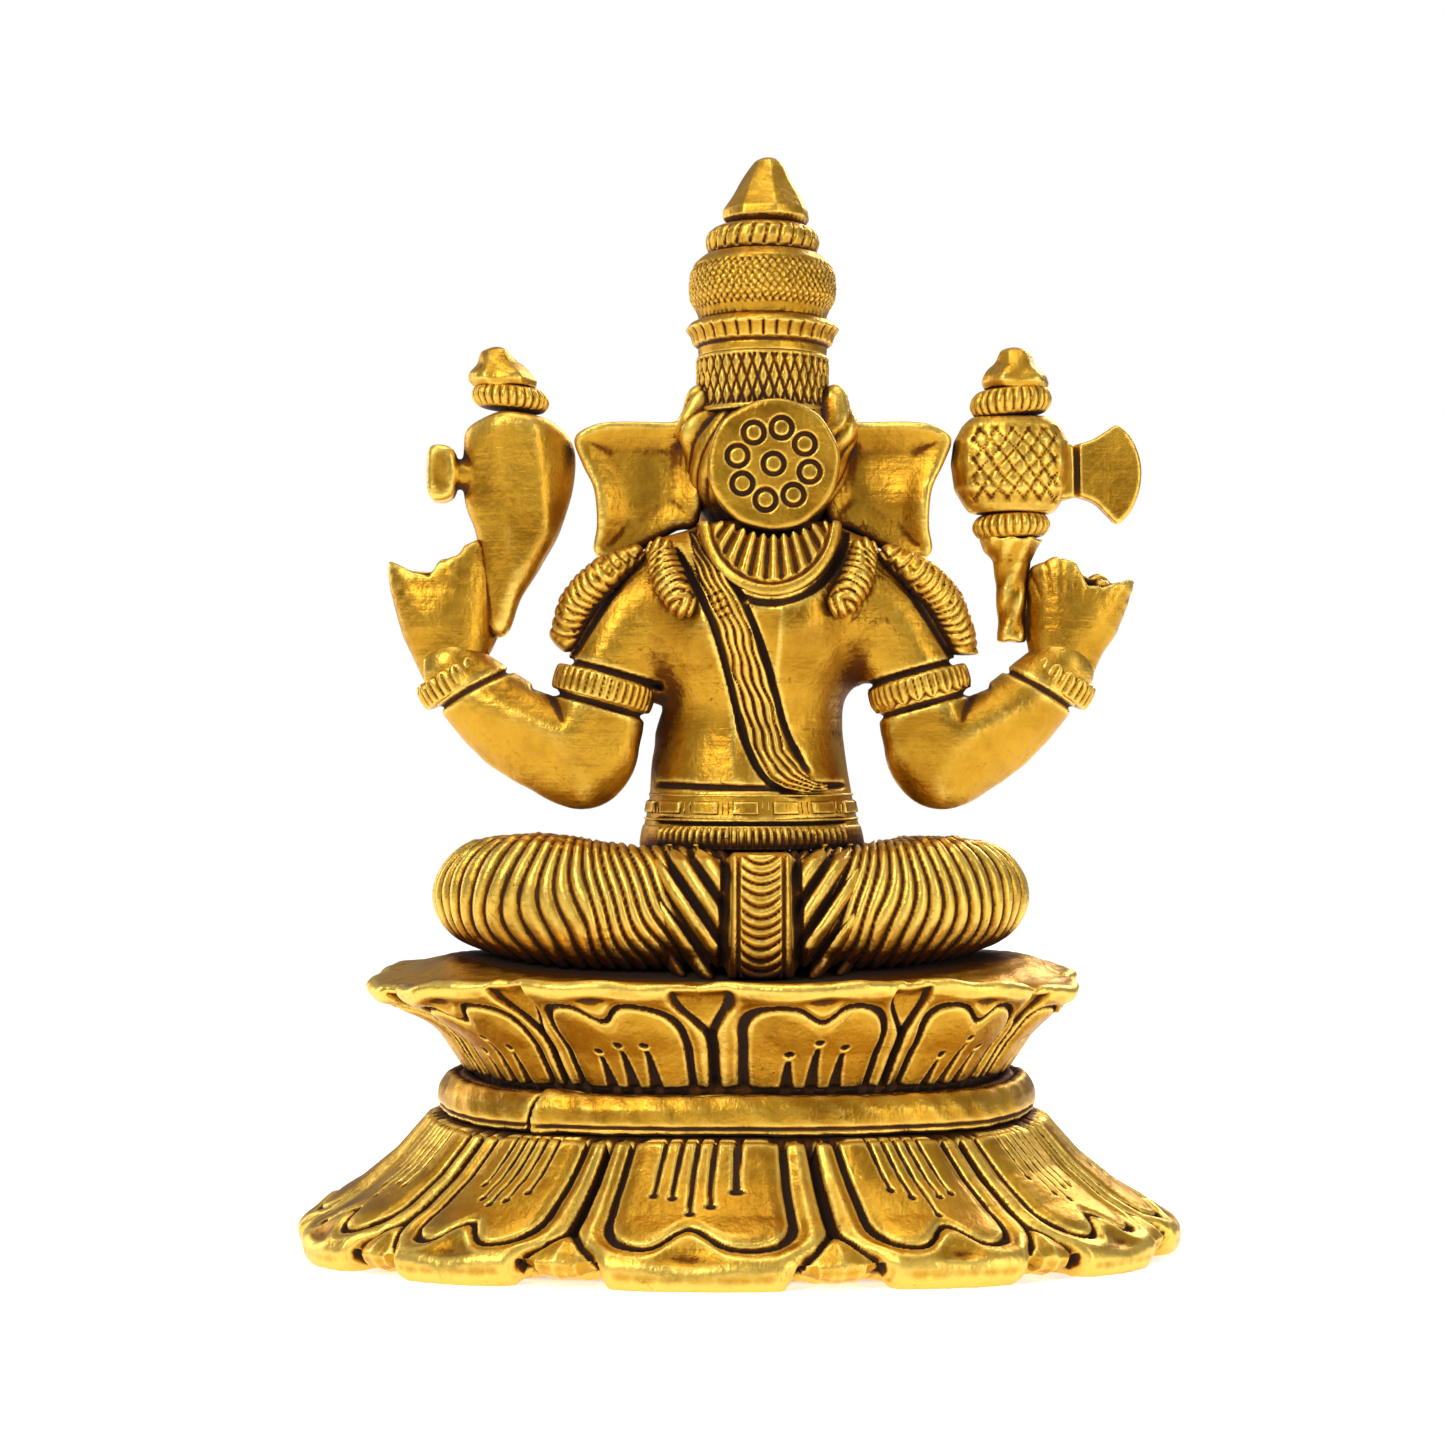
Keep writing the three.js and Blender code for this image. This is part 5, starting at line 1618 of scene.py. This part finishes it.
def front_hands():
    """The left hand holds a sweet in its palm and the right one is raised, palm forwards."""

    def bowl(p):
        d = limb(p, [(15.8, -26.2, 78.4), (15.3, -30.2, 77.7), (14.9, -32.6, 77.8)], (2.5, 2.4, 2.1), 5, 1)
        d = overlap(d, p[2] - 78.8, 0.4)
        for k in range(4):
            x = 11.9 + 2.15 * k
            finger = [(x + 0.6, -31.2, 77.6), (x, -34.2, 78.0), (x, -34.6, 80.2 - 0.3 * abs(k - 1.5))]
            d = blend(d, limb(p, finger, (1.3, 1.2, 0.9), 4), 0.35)
        thumb = [(12.6, -27.6, 78.2), (11.0, -29.6, 79.4), (11.3, -31.0, 81.4)]
        return blend(d, limb(p, thumb, (1.4, 1.2, 0.9), 4), 0.4)

    def ball_of_sweets(p):
        at = centre("sweet")
        low = corners("sweet")[0][2]
        x, y, z = p[0] - at[0], p[1] - at[1], p[2] - low
        r, angle = np.hypot(x, y), np.arctan2(x, y)
        width = looked_up(z, [0, 1.8, 3.8, 5.4, 6], [2.7, 3.35, 2.4, 0.8, 0.2])
        d = overlap((r - width) * 0.8, np.maximum(-z, z - 5.9), 0.4)
        return d + 0.42 * folds(angle * 10 / (2 * np.pi) + 0.15 * z, 2) * smooth(0.8, 1.8, r)

    def raised(p):
        wrist = [(-23.3, -23.8, 83.4), (-23.2, -25.2, 87.0), (-23.2, -25.5, 90.2)]
        d = limb(p, wrist, (2.5, 3.4, 3.2), 6, 1.7)
        for k, tip in enumerate((95.6, 97.0, 96.4, 94.6)):
            x = -20.2 - 2.05 * k
            finger = [(x, -25.4, 89.4), (x, -26.0, 93), (x, -25.6, tip)]
            d = blend(d, limb(p, finger, (1.08, 1.05, 0.8), 5), 0.3)
        thumb = [(-20.8, -25.2, 85.2), (-18.9, -26.3, 88), (-18.5, -26.6, 90.8)]
        d = blend(d, limb(p, thumb, (1.4, 1.2, 0.9), 4), 0.6)
        joints = folds(p[2] / 2.1, 6) * smooth(90.5, 91, p[2]) * (p[1] < -25.6)
        palm = 0.35 * groove(p[2] - 88.4 - 0.25 * (p[0] + 23), 0.35)
        palm = palm + 0.3 * groove(p[2] - 86.8 + 0.3 * (p[0] + 23), 0.35)
        return d + 0.15 * joints + palm * (p[1] < -25.6)

    sculpt("left_front_hand", "figure", bowl, 2.0, FINE_VOXEL)
    sculpt("sweet", "ornament", ball_of_sweets, 1.0, FINE_VOXEL)
    sculpt("right_front_hand", "figure", raised, 2.2, FINE_VOXEL)


# ---------- Camera, light and floor (in metres) ----------
STATUE_MIDDLE = (0, 0, 0.08)
CAMERA_AT = (0.00193, 0.423, 0.058)
CAMERA_PITCH = 0.0320528209  # radians upwards
LENS, SENSOR = 76.5, 36  # millimetres
LAMPS = (  # name, place, size and power in watts
    ("key_light", (0.5, 0.75, 0.7), (0.4, 0.5), 4.4),
    ("fill_light", (-0.7, 0.6, 0.3), (0.25, 0.6), 1.7),
    ("front_key", (-0.5, -0.8, 0.7), (0.4, 0.5), 3.6),
    ("front_fill", (0.8, -0.5, 0.3), (0.25, 0.6), 1.7),
    ("top_light", (0, 0.1, 1.1), (0.5, 0.5), 2.2),
)


def stage():
    """A large sheet of white paper to stand on, which glows a little, so that it stays white."""
    ground = bpy.data.meshes.new("floor")
    half = 1.1
    corner_places = [(-half, -half, 0), (half, -half, 0), (half, half, 0), (-half, half, 0)]
    ground.from_pydata(corner_places, [], [(0, 1, 2, 3)])
    floor = bpy.data.objects.new("floor", ground)
    bpy.context.collection.objects.link(floor)
    n = Nodes("floor_paper")
    paper = n.mixed(n.noise(40, 4), (0.86, 0.86, 0.86, 1), (0.90, 0.90, 0.90, 1))
    n.put(n.shader.inputs["Base Color"], paper)
    n.shader.inputs["Roughness"].default_value = 0.9
    n.shader.inputs["Emission Color"].default_value = (1, 1, 1, 1)
    n.shader.inputs["Emission Strength"].default_value = 0.55
    ground.materials.append(n.material)


def lamp(name, at, size, power):
    """A rectangular lamp that shines at the statue's middle."""
    light = bpy.data.lights.new(name, "AREA")
    light.shape = "RECTANGLE"
    light.size, light.size_y = size
    light.energy = power
    ob = bpy.data.objects.new(name, light)
    ob.location = at
    towards = Vector(STATUE_MIDDLE) - Vector(at)
    ob.rotation_euler = towards.to_track_quat("-Z", "Y").to_euler()
    bpy.context.collection.objects.link(ob)


def studio():
    """A white backdrop for the eye, and a softer grey room with large lamps for the metal to reflect."""
    world = bpy.data.worlds.new("studio")
    world.use_nodes = True
    tree = world.node_tree
    shown = tree.nodes["Background"]
    shown.inputs["Color"].default_value = (1, 1, 1, 1)
    shown.inputs["Strength"].default_value = 1.0
    room = tree.nodes.new("ShaderNodeBackground")
    place = tree.nodes.new("ShaderNodeTexCoord")
    height = tree.nodes.new("ShaderNodeSeparateXYZ")
    ramp = tree.nodes.new("ShaderNodeValToRGB")
    stops = ramp.color_ramp.elements
    stops.new(0.46)
    stops.new(0.6)
    for stop, shade in zip(stops, (0.20, 0.15, 0.26, 0.44)):
        stop.color = (shade, shade, shade * 1.02, 1)
    spread = tree.nodes.new("ShaderNodeMapRange")
    spread.inputs["From Min"].default_value = -1
    path = tree.nodes.new("ShaderNodeLightPath")
    mix = tree.nodes.new("ShaderNodeMixShader")
    links = tree.links
    links.new(place.outputs["Generated"], height.inputs[0])
    links.new(height.outputs["Z"], spread.inputs["Value"])
    links.new(spread.outputs[0], ramp.inputs[0])
    links.new(ramp.outputs[0], room.inputs["Color"])
    links.new(path.outputs["Is Camera Ray"], mix.inputs[0])
    links.new(room.outputs[0], mix.inputs[1])
    links.new(shown.outputs[0], mix.inputs[2])
    links.new(mix.outputs[0], tree.nodes["World Output"].inputs["Surface"])
    bpy.context.scene.world = world
    bpy.context.scene.view_settings.view_transform = "Standard"
    for values in LAMPS:
        lamp(*values)


def camera():
    """A camera behind the statue, facing its back."""
    data = bpy.data.cameras.new("camera")
    data.lens = LENS
    data.sensor_width = SENSOR
    ob = bpy.data.objects.new("camera", data)
    ob.location = CAMERA_AT
    ob.rotation_euler = (math.pi / 2 + CAMERA_PITCH, 0, math.pi)
    bpy.context.collection.objects.link(ob)
    bpy.context.scene.camera = ob


camera()
studio()
stage()
lower_lotus()
upper_lotus()
waist_band()
hips()
rear_pleat()
torso()
belts()
sash()
rear_collar()
necklace()
head()
trunk()
crown()
disc()
noose()
axe()
fluted_collar("noose_collar", 0.12)
fluted_collar("axe_lower_collar", -0.05)
fluted_collar("axe_upper_collar", -0.1)
lumpy_finial("noose_finial", 0.6, 1.6)
lumpy_finial("axe_finial", 1.7)
for body_side in (1, -1):
    leg(body_side)
    foot(body_side)
    rear_arm(body_side)
    bands(body_side)
    rear_hand(body_side)
    scarf(body_side)
    tassel(body_side)
    tusk(body_side)
    ear(body_side)
    front_arm(body_side)
for body_side in (1, -1):
    front_band(body_side)
front_hands()
for node in ("fixing_stud", "fixing_washer", "fixing_nut"):
    bpy.data.objects[node].data.materials.clear()
    bpy.data.objects[node].data.materials.append(materials["fixing"])
patina_wear_and_shade()
